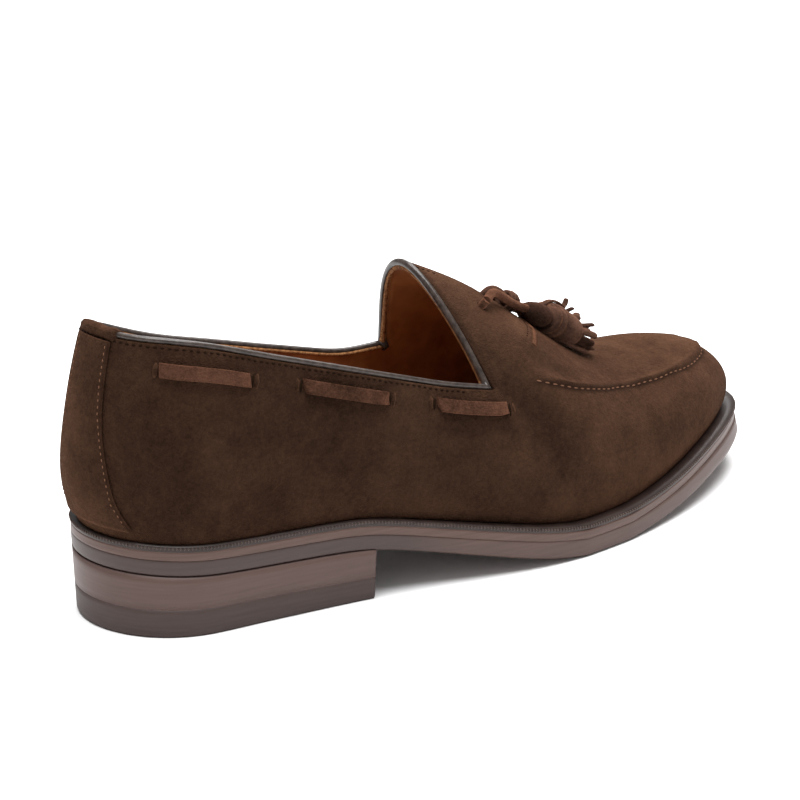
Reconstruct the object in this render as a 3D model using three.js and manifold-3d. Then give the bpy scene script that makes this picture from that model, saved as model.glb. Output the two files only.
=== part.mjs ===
// Suede tassel loafer for the right foot, standing empty on its stacked sole.
// Millimetres. +X runs from heel to toe, +Y to the inner side of the foot, +Z up.
// The origin lies on the floor, under the middle of the shoe.
import * as THREE from 'three';
import { mergeVertices } from 'three/addons/utils/BufferGeometryUtils.js';
import Module from 'manifold-3d';

const wasm = await Module();
wasm.setup();

// Driving dimensions of the sole
const SOLE_LENGTH = 302;
const BALL_WIDTH = 101;
const HEEL_WIDTH = 71;
const HEEL_SEAT_LENGTH = 95.5;
const HEEL_HEIGHT = 24;
const TOE_SPRING = 12;
const TOE_ROUND = 30;
const WELT_THICKNESS = 1.6;
const MIDSOLE_THICKNESS = 2.9;
const SHANK_SOLE_THICKNESS = 6;
const TREAD_THICKNESS = 7.2;
const TOP_PIECE_BACK = 10.8;
const TOP_PIECE_FRONT = 8.3;
const HEEL_INSET = 0.9;
const SOLE_EDGE_ROUND = 1.1;
const SOLE_FLARE = 1.6;
const WELT_WIDTH = 12;

// Driving dimensions of the upper
const INSTEP_HEIGHT = 108.5;
const BACK_HEIGHT = 106;
const CORNER_HEIGHT = 66.5;
const TOE_BOX_HEIGHT = 55.5;
const THROAT_AT = 0.522;
const HEEL_FAN_AT = 0.122;
const TOE_FAN_AT = 0.833;
const LEATHER = 2.2;
const FEATHER_INSET_HEEL = 1.8;
const FEATHER_INSET_TOE = 5.2;
const SEAM_RIDGE = 1.1;
const SEAM_HALF_WIDTH = 2.2;
const INSOLE_THICKNESS = 2.4;
const STRIP_THICKNESS = 1.2;
const STRIP_EDGE_DROP = 1.5;
const BINDING_WIDTH = 3.4;
const BINDING_HEIGHT = 2.8;

// Driving dimensions of the lace and the tassels
const LACE_WIDTH = 5;
const LACE_THICKNESS = 1.7;
const TIE_DIAMETER = 3.2;
const KNOT_LENGTH = 8;
const KNOT_WIDTH = 7;
const KNOT_HEIGHT = 4.4;
const TASSEL_WIDTH = 13.4;
const TASSEL_FLATNESS = 0.76;
const TASSEL_BORE_DEPTH = 9.5;
const FRINGE_WIDTH = 3.4;
const FRINGE_THICKNESS = 1.5;

// Clearance between pieces that touch on the real shoe
const GAP = 0.3;

// How finely the forms are divided
const STATIONS = 36;
const WALL_ROWS = 8;
const CROWN_ROWS = 6;

// Plan of the sole. Each row is a place along the sole, as a share of its length, with the
// middle line's drift to the inner side and the half width, as shares of the width named in it.
const OUTLINE = [
  { at: 0.000, drift: 0.006, half: 0.500, of: HEEL_WIDTH },
  { at: 0.113, drift: 0.004, half: 0.500, of: HEEL_WIDTH },
  { at: 0.167, drift: -0.014, half: 0.494, of: HEEL_WIDTH },
  { at: 0.233, drift: -0.045, half: 0.486, of: HEEL_WIDTH },
  { at: 0.300, drift: -0.082, half: 0.476, of: HEEL_WIDTH },
  { at: 0.367, drift: -0.110, half: 0.482, of: HEEL_WIDTH },
  { at: 0.433, drift: -0.087, half: 0.369, of: BALL_WIDTH },
  { at: 0.500, drift: -0.079, half: 0.416, of: BALL_WIDTH },
  { at: 0.567, drift: -0.054, half: 0.460, of: BALL_WIDTH },
  { at: 0.633, drift: -0.017, half: 0.482, of: BALL_WIDTH },
  { at: 0.683, drift: 0.007, half: 0.478, of: BALL_WIDTH },
  { at: 0.733, drift: 0.031, half: 0.459, of: BALL_WIDTH },
  { at: 0.800, drift: 0.064, half: 0.421, of: BALL_WIDTH },
  { at: 0.867, drift: 0.102, half: 0.361, of: BALL_WIDTH },
  { at: 0.917, drift: 0.128, half: 0.300, of: BALL_WIDTH },
  { at: 0.950, drift: 0.139, half: 0.270, of: BALL_WIDTH },
  { at: 1.000, drift: 0.139, half: 0.238, of: BALL_WIDTH },
];

// Underside of the outsole above the floor, with the flat tread between FLAT_START and FLAT_END
const FLAT_START = 0.607;
const FLAT_END = 0.677;
const SOLE_LINE = [
  { at: 0.000, high: 1.000, of: HEEL_HEIGHT },
  { at: 0.150, high: 0.885, of: HEEL_HEIGHT },
  { at: 0.293, high: 0.820, of: HEEL_HEIGHT },
  { at: 0.383, high: 0.595, of: HEEL_HEIGHT },
  { at: 0.467, high: 0.350, of: HEEL_HEIGHT },
  { at: 0.550, high: 0.110, of: HEEL_HEIGHT },
  { at: FLAT_START, high: 0.000, of: HEEL_HEIGHT },
  { at: FLAT_END, high: 0.000, of: TOE_SPRING },
  { at: 0.733, high: 0.120, of: TOE_SPRING },
  { at: 0.800, high: 0.370, of: TOE_SPRING },
  { at: 0.883, high: 0.690, of: TOE_SPRING },
  { at: 0.950, high: 0.860, of: TOE_SPRING },
  { at: 1.000, high: 1.000, of: TOE_SPRING },
];

// Thickness of the outsole between the welted layers above and the ground
const OUTSOLE_SECTIONS = [
  { at: 0.000, thick: 1, of: SHANK_SOLE_THICKNESS },
  { at: 0.380, thick: 1, of: SHANK_SOLE_THICKNESS },
  { at: 0.600, thick: 1, of: TREAD_THICKNESS },
  { at: 1.000, thick: 1, of: TREAD_THICKNESS },
];

// Ridge of the last, where the two sides of the upper meet: the place that a section's sides
// lean to, its drift to the inner side, and its height above the floor. Behind the throat
// the ridge is only a guide.
const LAST = [
  { at: HEEL_FAN_AT, leansTo: HEEL_FAN_AT, drift: 0.005, high: 1.38, of: INSTEP_HEIGHT },
  { at: 0.300, leansTo: 0.272, drift: -0.030, high: 1.27, of: INSTEP_HEIGHT },
  { at: 0.420, leansTo: 0.372, drift: -0.010, high: 1.14, of: INSTEP_HEIGHT },
  { at: THROAT_AT, leansTo: 0.461, drift: 0.015, high: 1.00, of: INSTEP_HEIGHT },
  { at: 0.600, leansTo: 0.545, drift: 0.015, high: 0.885, of: INSTEP_HEIGHT },
  { at: 0.680, leansTo: 0.645, drift: 0.020, high: 0.677, of: INSTEP_HEIGHT },
  { at: 0.750, leansTo: 0.735, drift: 0.045, high: 1.050, of: TOE_BOX_HEIGHT },
  { at: TOE_FAN_AT, leansTo: TOE_FAN_AT, drift: 0.085, high: 1.000, of: TOE_BOX_HEIGHT },
];

// How full each side of a section is: towards the wall, and towards the crown
const FULLNESS = [
  { at: HEEL_FAN_AT, outerWall: 0.42, outerCrown: 0.50, innerWall: 0.42, innerCrown: 0.50 },
  { at: 0.300, outerWall: 0.36, outerCrown: 0.46, innerWall: 0.38, innerCrown: 0.52 },
  { at: 0.420, outerWall: 0.26, outerCrown: 0.40, innerWall: 0.32, innerCrown: 0.58 },
  { at: THROAT_AT, outerWall: 0.20, outerCrown: 0.39, innerWall: 0.30, innerCrown: 0.62 },
  { at: 0.600, outerWall: 0.40, outerCrown: 0.46, innerWall: 0.40, innerCrown: 0.56 },
  { at: 0.680, outerWall: 0.50, outerCrown: 0.55, innerWall: 0.50, innerCrown: 0.55 },
  { at: 0.750, outerWall: 0.50, outerCrown: 0.58, innerWall: 0.50, innerCrown: 0.58 },
  { at: TOE_FAN_AT, outerWall: 0.46, outerCrown: 0.56, innerWall: 0.46, innerCrown: 0.56 },
  { at: 1.000, outerWall: 0.42, outerCrown: 0.52, innerWall: 0.42, innerCrown: 0.52 },
];

// How far the upper stands out past the sole's edge at its fullest height, on each side
const BELLY = [
  { at: 0.000, outer: 0.025, inner: 0.025, of: HEEL_WIDTH, high: 0.20 },
  { at: 0.117, outer: 0.025, inner: 0.025, of: HEEL_WIDTH, high: 0.20 },
  { at: 0.300, outer: 0.010, inner: 0.050, of: HEEL_WIDTH, high: 0.18 },
  { at: 0.400, outer: 0.000, inner: 0.050, of: BALL_WIDTH, high: 0.16 },
  { at: 0.500, outer: -0.015, inner: 0.030, of: BALL_WIDTH, high: 0.13 },
  { at: 0.600, outer: -0.025, inner: -0.010, of: BALL_WIDTH, high: 0.11 },
  { at: 0.750, outer: -0.028, inner: -0.025, of: BALL_WIDTH, high: 0.10 },
  { at: 0.900, outer: -0.030, inner: -0.030, of: BALL_WIDTH, high: 0.08 },
  { at: 1.000, outer: -0.031, inner: -0.031, of: BALL_WIDTH, high: 0.07 },
];

// The collar's edge from the back (1) down to the throat's corners (0), on each side
const TOPLINE = [
  { at: 0.000, outer: 1.000, inner: 1.000 },
  { at: 0.017, outer: 0.995, inner: 0.940 },
  { at: 0.044, outer: 0.985, inner: 0.860 },
  { at: 0.080, outer: 0.950, inner: 0.760 },
  { at: 0.122, outer: 0.880, inner: 0.640 },
  { at: 0.171, outer: 0.760, inner: 0.515 },
  { at: 0.238, outer: 0.605, inner: 0.395 },
  { at: 0.304, outer: 0.450, inner: 0.270 },
  { at: 0.370, outer: 0.300, inner: 0.150 },
  { at: 0.453, outer: 0.115, inner: 0.010 },
  { at: THROAT_AT, outer: 0.000, inner: 0.000 },
];

// Height of the apron's raised seam, from the throat's corners to the toe
const APRON = [
  { at: THROAT_AT, high: 1.000, of: CORNER_HEIGHT },
  { at: 0.600, high: 0.995, of: CORNER_HEIGHT },
  { at: 0.640, high: 0.920, of: CORNER_HEIGHT },
  { at: 0.690, high: 1.009, of: TOE_BOX_HEIGHT },
  { at: 0.745, high: 0.925, of: TOE_BOX_HEIGHT },
  { at: 0.810, high: 0.888, of: TOE_BOX_HEIGHT },
  { at: 0.900, high: 0.878, of: TOE_BOX_HEIGHT },
  { at: 1.000, high: 0.860, of: TOE_BOX_HEIGHT },
];
const APRON_START = 0.600;

// Half width of the strip up the back seam, by height between the welt and the collar
const STRIP = [
  { at: 0.00, half: 0.310, of: HEEL_WIDTH },
  { at: 0.17, half: 0.237, of: HEEL_WIDTH },
  { at: 0.39, half: 0.197, of: HEEL_WIDTH },
  { at: 0.61, half: 0.157, of: HEEL_WIDTH },
  { at: 0.75, half: 0.151, of: HEEL_WIDTH },
  { at: 1.00, half: 0.153, of: HEEL_WIDTH },
];

// Stretches of the lace that show on each side, by their places along the sole,
// and how far they lie below the collar
const LACE_RUNS = [
  { from: 0.047, to: 0.157, drop: 8.6 },
  { from: 0.230, to: 0.343, drop: 7.4 },
  { from: 0.418, to: 0.525, drop: 6.8 },
];

// Way of each tie over the vamp, from its slot past the knot, with the head and the tip of its
// tassel: a place along the sole, the distance from the ridge as a share of the tassel's
// width, and the height above the upper's face as a share of the tie's diameter
const TIE_OUTER = [
  { at: 0.582, aside: 1.26, above: 0.66 },
  { at: 0.601, aside: 1.00, above: 1.02 },
  { at: 0.637, aside: 0.68, above: 0.82 },
  { at: 0.658, aside: 0.72, above: 1.44 },
  { at: 0.743, aside: 0.66, above: 1.58 },
];
const TIE_INNER = [
  { at: 0.644, aside: 0.98, above: 0.68 },
  { at: 0.652, aside: 0.50, above: 1.16 },
  { at: 0.666, aside: 0.30, above: 1.05 },
  { at: 0.688, aside: 0.52, above: 1.70 },
  { at: 0.766, aside: 0.66, above: 2.00 },
];
const KNOT_PLACE = { at: 0.645, aside: 0.24, above: 0.84 };

// Profile of a tassel's bound body from its head: a share of its length and of its half width
const TASSEL_FORM = [
  { along: 0.00, half: 0.56 },
  { along: 0.04, half: 0.66 },
  { along: 0.22, half: 0.84 },
  { along: 0.40, half: 1.00 },
  { along: 0.56, half: 0.96 },
  { along: 0.62, half: 0.80 },
];

// Strips of the fringe: their turn round the tassel in degrees, with 90 away from the vamp,
// and the share of the length and of the half width that each tip reaches
const FRINGE = [
  { turn: 0, reach: 1.00, spread: 0.95 },
  { turn: 40, reach: 0.93, spread: 0.90 },
  { turn: 82, reach: 0.84, spread: 1.20 },
  { turn: 128, reach: 0.95, spread: 1.00 },
  { turn: 170, reach: 0.98, spread: 0.85 },
  { turn: 212, reach: 0.90, spread: 0.80 },
  { turn: 250, reach: 1.00, spread: 0.60 },
  { turn: 290, reach: 0.94, spread: 0.60 },
  { turn: 326, reach: 1.00, spread: 0.80 },
];

const clamp = THREE.MathUtils.clamp;

// A smooth curve through one column of a table, in its own units where the rows name a size
function curve(table, key) {
  const place = table.map((row) => row.at);
  const value = table.map((row) => row[key] * (row.of ?? 1));
  const rise = place.slice(1).map((p, i) => (value[i + 1] - value[i]) / (p - place[i]));
  const slope = place.map((_, i) => {
    if (i === 0) return rise[0];
    if (i === rise.length) return rise[i - 1];
    const product = rise[i - 1] * rise[i];
    return product > 0 ? 2 * product / (rise[i - 1] + rise[i]) : 0;
  });
  return (at) => {
    let i = 0;
    while (i < rise.length - 1 && at > place[i + 1]) i += 1;
    const span = place[i + 1] - place[i];
    const t = clamp((at - place[i]) / span, 0, 1);
    const back = (1 - t) * (1 - t);
    const ahead = t * t;
    return value[i] * (1 + 2 * t) * back + value[i + 1] * (3 - 2 * t) * ahead
      + span * (slope[i] * t * back - slope[i + 1] * (1 - t) * ahead);
  };
}

const plan = { drift: curve(OUTLINE, 'drift'), half: curve(OUTLINE, 'half') };
const soleLine = curve(SOLE_LINE, 'high');
const outsoleThickness = curve(OUTSOLE_SECTIONS, 'thick');
const last = {
  leansTo: curve(LAST.map(({ at, leansTo }) => ({ at, leansTo })), 'leansTo'),
  drift: curve(LAST.map(({ at, drift }) => ({ at, drift, of: BALL_WIDTH })), 'drift'),
  high: curve(LAST, 'high'),
};
const fullness = {
  outer: { wall: curve(FULLNESS, 'outerWall'), crown: curve(FULLNESS, 'outerCrown') },
  inner: { wall: curve(FULLNESS, 'innerWall'), crown: curve(FULLNESS, 'innerCrown') },
};
const belly = {
  outer: curve(BELLY, 'outer'),
  inner: curve(BELLY, 'inner'),
  high: curve(BELLY.map(({ at, high }) => ({ at, high, of: INSTEP_HEIGHT })), 'high'),
};
const topline = { outer: curve(TOPLINE, 'outer'), inner: curve(TOPLINE, 'inner') };
const apron = curve(APRON, 'high');
const stripHalf = curve(STRIP, 'half');

// Heights of the stack, at a share of the length
const outsoleTop = (at) => soleLine(at) + outsoleThickness(at);
const midsoleTop = (at) => outsoleTop(at) + GAP + MIDSOLE_THICKNESS;
const weltTop = (at) => midsoleTop(at) + GAP + WELT_THICKNESS;

// Places round the shoe run from 0 at the back of the heel, along the outer side to 1 at the
// toe's tip, and back along the inner side to 2. This is the share of the length for a place.
const shareAt = (place) => (1 - Math.cos(Math.PI * place)) / 2;
const placeOf = (share) => Math.acos(1 - 2 * share) / Math.PI;
const isOuter = (place) => ((place % 2) + 2) % 2 <= 1;

// Edge of the sole in plan
function outline(place) {
  const share = shareAt(place);
  const x = share * SOLE_LENGTH;
  const heelRound = HEEL_WIDTH / 2;
  const back = clamp((heelRound - x) / heelRound, 0, 1);
  const front = clamp((x - SOLE_LENGTH + TOE_ROUND) / TOE_ROUND, 0, 1);
  const half = plan.half(share) * Math.sqrt(1 - back * back) * Math.sqrt(1 - front * front);
  return new THREE.Vector2(x, plan.drift(share) + (isOuter(place) ? -half : half));
}

// The same edge moved outwards
function outset(place, distance) {
  const step = 0.004;
  const along = outline(place + step).sub(outline(place - step)).normalize();
  return outline(place).add(new THREE.Vector2(along.y, -along.x).multiplyScalar(distance));
}

const featherInset = (share) => {
  const t = THREE.MathUtils.smoothstep(share, 0.15, 0.55);
  return THREE.MathUtils.lerp(FEATHER_INSET_HEEL, FEATHER_INSET_TOE, t);
};

// Key points of the upper's section at a place: the feather edge on the welt, the fullest
// point of the wall, and the ridge
const BELLY_RISE = 0.2;
function section(place) {
  const share = shareAt(place);
  const side = isOuter(place) ? 'outer' : 'inner';
  const foot = outset(place, -featherInset(share));
  const full = outset(place, belly[side](share));
  const bottom = weltTop(share) + GAP;
  return {
    foot: new THREE.Vector3(foot.x, foot.y, bottom),
    full: new THREE.Vector3(full.x, full.y, bottom + belly.high(share)),
    ridge: new THREE.Vector3(last.leansTo(share) * SOLE_LENGTH, last.drift(share), last.high(share)),
    wall: fullness[side].wall(share),
    crown: fullness[side].crown(share),
    sweeps: last.leansTo(share) < TOE_FAN_AT && share > HEEL_FAN_AT,
  };
}

// A point of the upper's outer face: rise is 0 at the feather edge and 1 at the ridge
function wallPoint(place, rise) {
  const { foot, full, ridge, wall, crown, sweeps } = section(place);
  if (rise < BELLY_RISE) {
    const t = rise / BELLY_RISE;
    const out = 1 - (1 - t) * (1 - t);
    return new THREE.Vector3(
      THREE.MathUtils.lerp(foot.x, full.x, out),
      THREE.MathUtils.lerp(foot.y, full.y, out),
      THREE.MathUtils.lerp(foot.z, full.z, t),
    );
  }
  const upright = new THREE.Vector3(full.x, full.y, THREE.MathUtils.lerp(full.z, ridge.z, wall));
  const level = full.clone().lerp(ridge, 1 - crown).setZ(ridge.z);
  if (sweeps) level.x = ridge.x;
  const t = (rise - BELLY_RISE) / (1 - BELLY_RISE);
  return new THREE.CubicBezierCurve3(full, upright, level, ridge).getPoint(t);
}

function wallNormal(place, rise) {
  const step = 0.002;
  const low = clamp(rise, 0, 0.97);
  const along = wallPoint(place + step, low).sub(wallPoint(place - step, low));
  const up = wallPoint(place, low + step).sub(wallPoint(place, Math.max(low - step, 0)));
  return along.cross(up).normalize();
}

// Upright normal of the ridge line, the same for both sides
function ridgeNormal(place) {
  const step = 0.01;
  const share = clamp(shareAt(place), THROAT_AT, TOE_FAN_AT - step);
  const run = (last.leansTo(share + step) - last.leansTo(share - step)) * SOLE_LENGTH;
  const climb = last.high(share + step) - last.high(share - step);
  return new THREE.Vector3(-climb, 0, run).normalize();
}

function offsetPoint(place, rise, distance) {
  const normal = rise > 0.999 ? ridgeNormal(place) : wallNormal(place, rise);
  return wallPoint(place, rise).addScaledVector(normal, distance);
}

// The rise at which the wall reaches a height
function riseAt(place, height) {
  let low = BELLY_RISE;
  let high = 1;
  for (let i = 0; i < 40; i += 1) {
    const middle = (low + high) / 2;
    if (wallPoint(place, middle).z < height) low = middle;
    else high = middle;
  }
  return (low + high) / 2;
}

// The change of rise that moves a point by a distance up the wall
function riseStep(place, rise, distance) {
  const step = 0.01;
  return distance * step / wallPoint(place, rise + step).distanceTo(wallPoint(place, rise));
}

function collarHeight(place) {
  const side = isOuter(place) ? topline.outer : topline.inner;
  return THREE.MathUtils.lerp(CORNER_HEIGHT, BACK_HEIGHT, side(shareAt(place)));
}

// The line that parts the wall from the crown: the collar's edge behind the throat,
// and the apron's seam in front of it
function partingRise(place) {
  const share = shareAt(place);
  return riseAt(place, share < THROAT_AT ? collarHeight(place) : apron(share));
}

// Collects faces and hands them over as one closed surface
class Shell {
  constructor() {
    this.corners = [];
  }

  face(a, b, c) {
    this.corners.push(a, b, c);
  }

  quad(a, b, c, d) {
    this.face(a, b, c);
    this.face(a, c, d);
  }

  // Faces between neighbouring lines of points, facing the way that line x row turns
  grid(lines, turned = false) {
    for (let i = 0; i < lines.length - 1; i += 1) {
      for (let j = 0; j < lines[i].length - 1; j += 1) {
        const [a, b, c, d] = [lines[i][j], lines[i + 1][j], lines[i + 1][j + 1], lines[i][j + 1]];
        if (turned) this.quad(a, d, c, b);
        else this.quad(a, b, c, d);
      }
    }
  }

  geometry() {
    const raw = mergeVertices(new THREE.BufferGeometry().setFromPoints(this.corners), 1e-4);
    const index = Array.from(raw.index.array);
    const kept = [];
    for (let i = 0; i < index.length; i += 3) {
      const [a, b, c] = index.slice(i, i + 3);
      if (a !== b && b !== c && c !== a) kept.push(a, b, c);
    }
    raw.setIndex(kept);
    raw.computeVertexNormals();
    return raw;
  }
}

const throatPlace = placeOf(THROAT_AT);
const half = STATIONS / 2;
const halfPlaces = Array.from({ length: STATIONS + 1 }, (_, k) => (k <= half
  ? throatPlace * k / half
  : throatPlace + (1 - throatPlace) * (k - half) / half));
const places = [...halfPlaces, ...halfPlaces.slice(1, -1).reverse().map((p) => 2 - p)];

// How far the tread's edge stands out past the welt towards the toe
const flare = (share) => SOLE_FLARE * THREE.MathUtils.smoothstep(share, 0.6, 0.95);

// A layer of the sole between two heights, each a function of the share of the length.
// edge lists the rows of its side from the bottom up, as a share of its thickness and an inset.
function layer({ bottom, top, edge, end = 1 }) {
  const endPlace = placeOf(end);
  const own = [...halfPlaces, placeOf(FLAT_START), placeOf(FLAT_END)];
  const stations = [...own.filter((p) => p < endPlace - 0.004), endPlace].sort((a, b) => a - b);
  const rowPoint = (place, { up, inset, flared = 0 }) => {
    const flat = outset(place, flared * flare(shareAt(place)) - inset);
    const share = clamp(flat.x / SOLE_LENGTH, 0, 1);
    return new THREE.Vector3(flat.x, flat.y, THREE.MathUtils.lerp(bottom(share), top(share), up));
  };
  const outer = stations.map((p) => edge.map((row) => rowPoint(p, row)));
  const inner = stations.map((p) => edge.map((row) => rowPoint(2 - p, row)));
  if (end < 1) {
    for (const side of [outer, inner]) {
      for (const point of side[side.length - 1]) point.x = end * SOLE_LENGTH;
    }
  }
  const shell = new Shell();
  shell.grid([...outer, ...inner.toReversed()]);
  const under = stations.map((_, i) => [outer[i][0], inner[i][0]]);
  const over = stations.map((_, i) => [outer[i].at(-1), inner[i].at(-1)]);
  shell.grid(under, true);
  shell.grid(over);
  return shell.geometry();
}

const plainEdge = [{ up: 0, inset: 0 }, { up: 1, inset: 0 }];

function outsole() {
  const round = SOLE_EDGE_ROUND;
  return layer({
    bottom: soleLine,
    top: outsoleTop,
    edge: [
      { up: 0, inset: round * 1.6, flared: 1 },
      { up: 0.14, inset: round * 0.4, flared: 1 },
      { up: 0.30, inset: 0.1, flared: 1 },
      { up: 0.94, inset: 0, flared: 0.3 },
      { up: 1, inset: 0.25 },
    ],
  });
}

function midsole() {
  return layer({ bottom: (at) => outsoleTop(at) + GAP, top: midsoleTop, edge: plainEdge });
}

const liftBottom = (at) => THREE.MathUtils.lerp(
  TOP_PIECE_BACK,
  TOP_PIECE_FRONT,
  at * SOLE_LENGTH / HEEL_SEAT_LENGTH,
);

function heelLift() {
  return layer({
    bottom: (at) => liftBottom(at) + GAP,
    top: (at) => soleLine(at) - GAP,
    edge: [{ up: 0, inset: HEEL_INSET }, { up: 1, inset: HEEL_INSET * 0.3 }],
    end: HEEL_SEAT_LENGTH / SOLE_LENGTH,
  });
}

function heelTopPiece() {
  return layer({
    bottom: () => 0,
    top: liftBottom,
    edge: [
      { up: 0, inset: HEEL_INSET + 1.2 },
      { up: 0.1, inset: HEEL_INSET + 0.5 },
      { up: 1, inset: HEEL_INSET },
    ],
    end: HEEL_SEAT_LENGTH / SOLE_LENGTH,
  });
}

// The welt is a band along the edge, open in the middle
function welt() {
  const corners = [
    { up: 0, inset: WELT_WIDTH },
    { up: 0, inset: 0 },
    { up: 1, inset: 0 },
    { up: 1, inset: WELT_WIDTH },
  ];
  const lines = [...places, places[0]].map((place) => {
    const row = corners.map(({ up, inset }) => {
      const flat = outset(place, -inset);
      const share = clamp(flat.x / SOLE_LENGTH, 0, 1);
      return new THREE.Vector3(flat.x, flat.y, midsoleTop(share) + GAP + up * WELT_THICKNESS);
    });
    return [...row, row[0]];
  });
  const shell = new Shell();
  shell.grid(lines);
  return shell.geometry();
}

function insole() {
  const bottom = (at) => weltTop(at) + GAP;
  const inset = (place) => featherInset(shareAt(place)) + LEATHER + GAP;
  const rim = (place, z) => {
    const flat = outset(place, -inset(place));
    return new THREE.Vector3(flat.x, flat.y, bottom(clamp(flat.x / SOLE_LENGTH, 0, 1)) + z);
  };
  const outer = halfPlaces.map((p) => [rim(p, 0), rim(p, INSOLE_THICKNESS)]);
  const inner = halfPlaces.map((p) => [rim(2 - p, 0), rim(2 - p, INSOLE_THICKNESS)]);
  const shell = new Shell();
  shell.grid([...outer, ...inner.toReversed()]);
  shell.grid(halfPlaces.map((_, i) => [outer[i][0], inner[i][0]]), true);
  shell.grid(halfPlaces.map((_, i) => [outer[i][1], inner[i][1]]));
  return shell.geometry();
}

// Rows of the upper at a place, from the feather edge to the parting line and on to the ridge
function upperRises(place) {
  const parting = partingRise(place);
  const closed = shareAt(place) > THROAT_AT - 1e-6;
  const beside = riseStep(place, parting - 0.02, SEAM_HALF_WIDTH);
  const wall = Array.from({ length: WALL_ROWS }, (_, i) => (parting - beside) * i / (WALL_ROWS - 1));
  if (!closed) return [...wall, parting];
  const first = parting + beside;
  const crown = Array.from({ length: CROWN_ROWS }, (_, i) => first + (1 - first) * i / (CROWN_ROWS - 1));
  return [...wall, parting, ...crown];
}

function seamLift(place, row) {
  if (row !== WALL_ROWS) return 0;
  return SEAM_RIDGE * THREE.MathUtils.smoothstep(shareAt(place), APRON_START - 0.04, APRON_START + 0.01);
}

function upperLine(place, inside) {
  return upperRises(place).map((rise, row) => {
    if (!inside) return offsetPoint(place, rise, seamLift(place, row));
    const point = offsetPoint(place, rise, -LEATHER);
    if (row === 0) {
      point.copy(wallPoint(place, 0));
      const flat = outset(place, -featherInset(shareAt(place)) - LEATHER);
      point.set(flat.x, flat.y, weltTop(clamp(flat.x / SOLE_LENGTH, 0, 1)) + GAP);
    }
    return point;
  });
}

// The collar's edge as pairs of outer and inner points, once round the opening
function collarPath(outside, inside) {
  const lineCount = outside.length;
  const pairs = [];
  for (let i = 0; i <= half; i += 1) pairs.push([outside[i][WALL_ROWS], inside[i][WALL_ROWS]]);
  for (let row = WALL_ROWS + 1; row < outside[half].length; row += 1) {
    pairs.push([outside[half][row], inside[half][row]]);
  }
  const far = lineCount - half;
  for (let row = outside[far].length - 2; row >= WALL_ROWS; row -= 1) {
    pairs.push([outside[far][row], inside[far][row]]);
  }
  for (let i = far + 1; i < lineCount; i += 1) {
    pairs.push([outside[i][WALL_ROWS], inside[i][WALL_ROWS]]);
  }
  return pairs;
}

const outsideLines = places.map((place) => upperLine(place, false));
const insideLines = places.map((place) => upperLine(place, true));
const collar = collarPath(outsideLines, insideLines);

function upper() {
  const shell = new Shell();
  for (let i = 0; i < places.length; i += 1) {
    const next = (i + 1) % places.length;
    const rows = Math.min(outsideLines[i].length, outsideLines[next].length);
    shell.grid([outsideLines[i].slice(0, rows), outsideLines[next].slice(0, rows)]);
    shell.grid([insideLines[i].slice(0, rows), insideLines[next].slice(0, rows)], true);
    shell.quad(outsideLines[next][0], outsideLines[i][0], insideLines[i][0], insideLines[next][0]);
  }
  collar.forEach(([outer, inner], i) => {
    const [outerNext, innerNext] = collar[(i + 1) % collar.length];
    shell.quad(outer, outerNext, innerNext, inner);
  });
  return shell.geometry();
}

// Piping over the collar's edge, eight-sided, mitred where the edge turns
function collarBinding() {
  const middles = collar.map(([outer, inner]) => outer.clone().lerp(inner, 0.5));
  const count = collar.length;
  const rings = collar.map(([outer, inner], i) => {
    const back = middles[i].clone().sub(middles[(i + count - 1) % count]).normalize();
    const ahead = middles[(i + 1) % count].clone().sub(middles[i]).normalize();
    const along = back.clone().add(ahead).normalize();
    const mitre = 1 / Math.max(along.dot(ahead), 0.45);
    const out = outer.clone().sub(inner).normalize();
    const up = out.clone().cross(along).normalize();
    const centre = middles[i].clone().addScaledVector(up, (GAP + BINDING_HEIGHT / 2) * mitre);
    const ring = Array.from({ length: 8 }, (_, k) => {
      const turn = Math.PI * (2 * k + 1) / 8;
      return centre.clone()
        .addScaledVector(out, Math.cos(turn) * BINDING_WIDTH / 2)
        .addScaledVector(up, Math.sin(turn) * BINDING_HEIGHT / 2 * mitre);
    });
    return [...ring, ring[0]];
  });
  const shell = new Shell();
  shell.grid([...rings, rings[0]]);
  return shell.geometry();
}

// A flat piece laid on the upper, from a grid of places and rises
function patch(cells, thickness) {
  const under = cells.map((line) => line.map(([place, rise]) => offsetPoint(place, rise, GAP)));
  const over = cells.map((line) => line.map(([place, rise]) => offsetPoint(place, rise, GAP + thickness)));
  const shell = new Shell();
  shell.grid(over);
  shell.grid(under, true);
  const rim = (lines) => [
    ...lines.map((line) => line[0]),
    ...lines.at(-1).slice(1),
    ...lines.slice(0, -1).reverse().map((line) => line.at(-1)),
    ...lines[0].slice(1, -1).reverse(),
  ];
  const low = rim(under);
  const high = rim(over);
  low.forEach((point, i) => {
    const next = (i + 1) % low.length;
    shell.quad(point, low[next], high[next], high[i]);
  });
  return shell.geometry();
}

// Strip over the back seam, from the welt to the collar
function backStrip() {
  const columns = 8;
  const rows = 10;
  const heelRound = HEEL_WIDTH / 2;
  const cells = Array.from({ length: columns + 1 }, (_, i) => {
    const across = 2 * i / columns - 1;
    return Array.from({ length: rows + 1 }, (__, j) => {
      const up = j / rows;
      const angle = stripHalf(up) / heelRound * across;
      const place = Math.sign(across) * placeOf(heelRound * (1 - Math.cos(angle)) / SOLE_LENGTH);
      const top = partingRise(place) - riseStep(place, partingRise(place) - 0.02, STRIP_EDGE_DROP);
      return [place, THREE.MathUtils.lerp(0.04, top, up)];
    });
  });
  return patch(cells, STRIP_THICKNESS);
}

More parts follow.
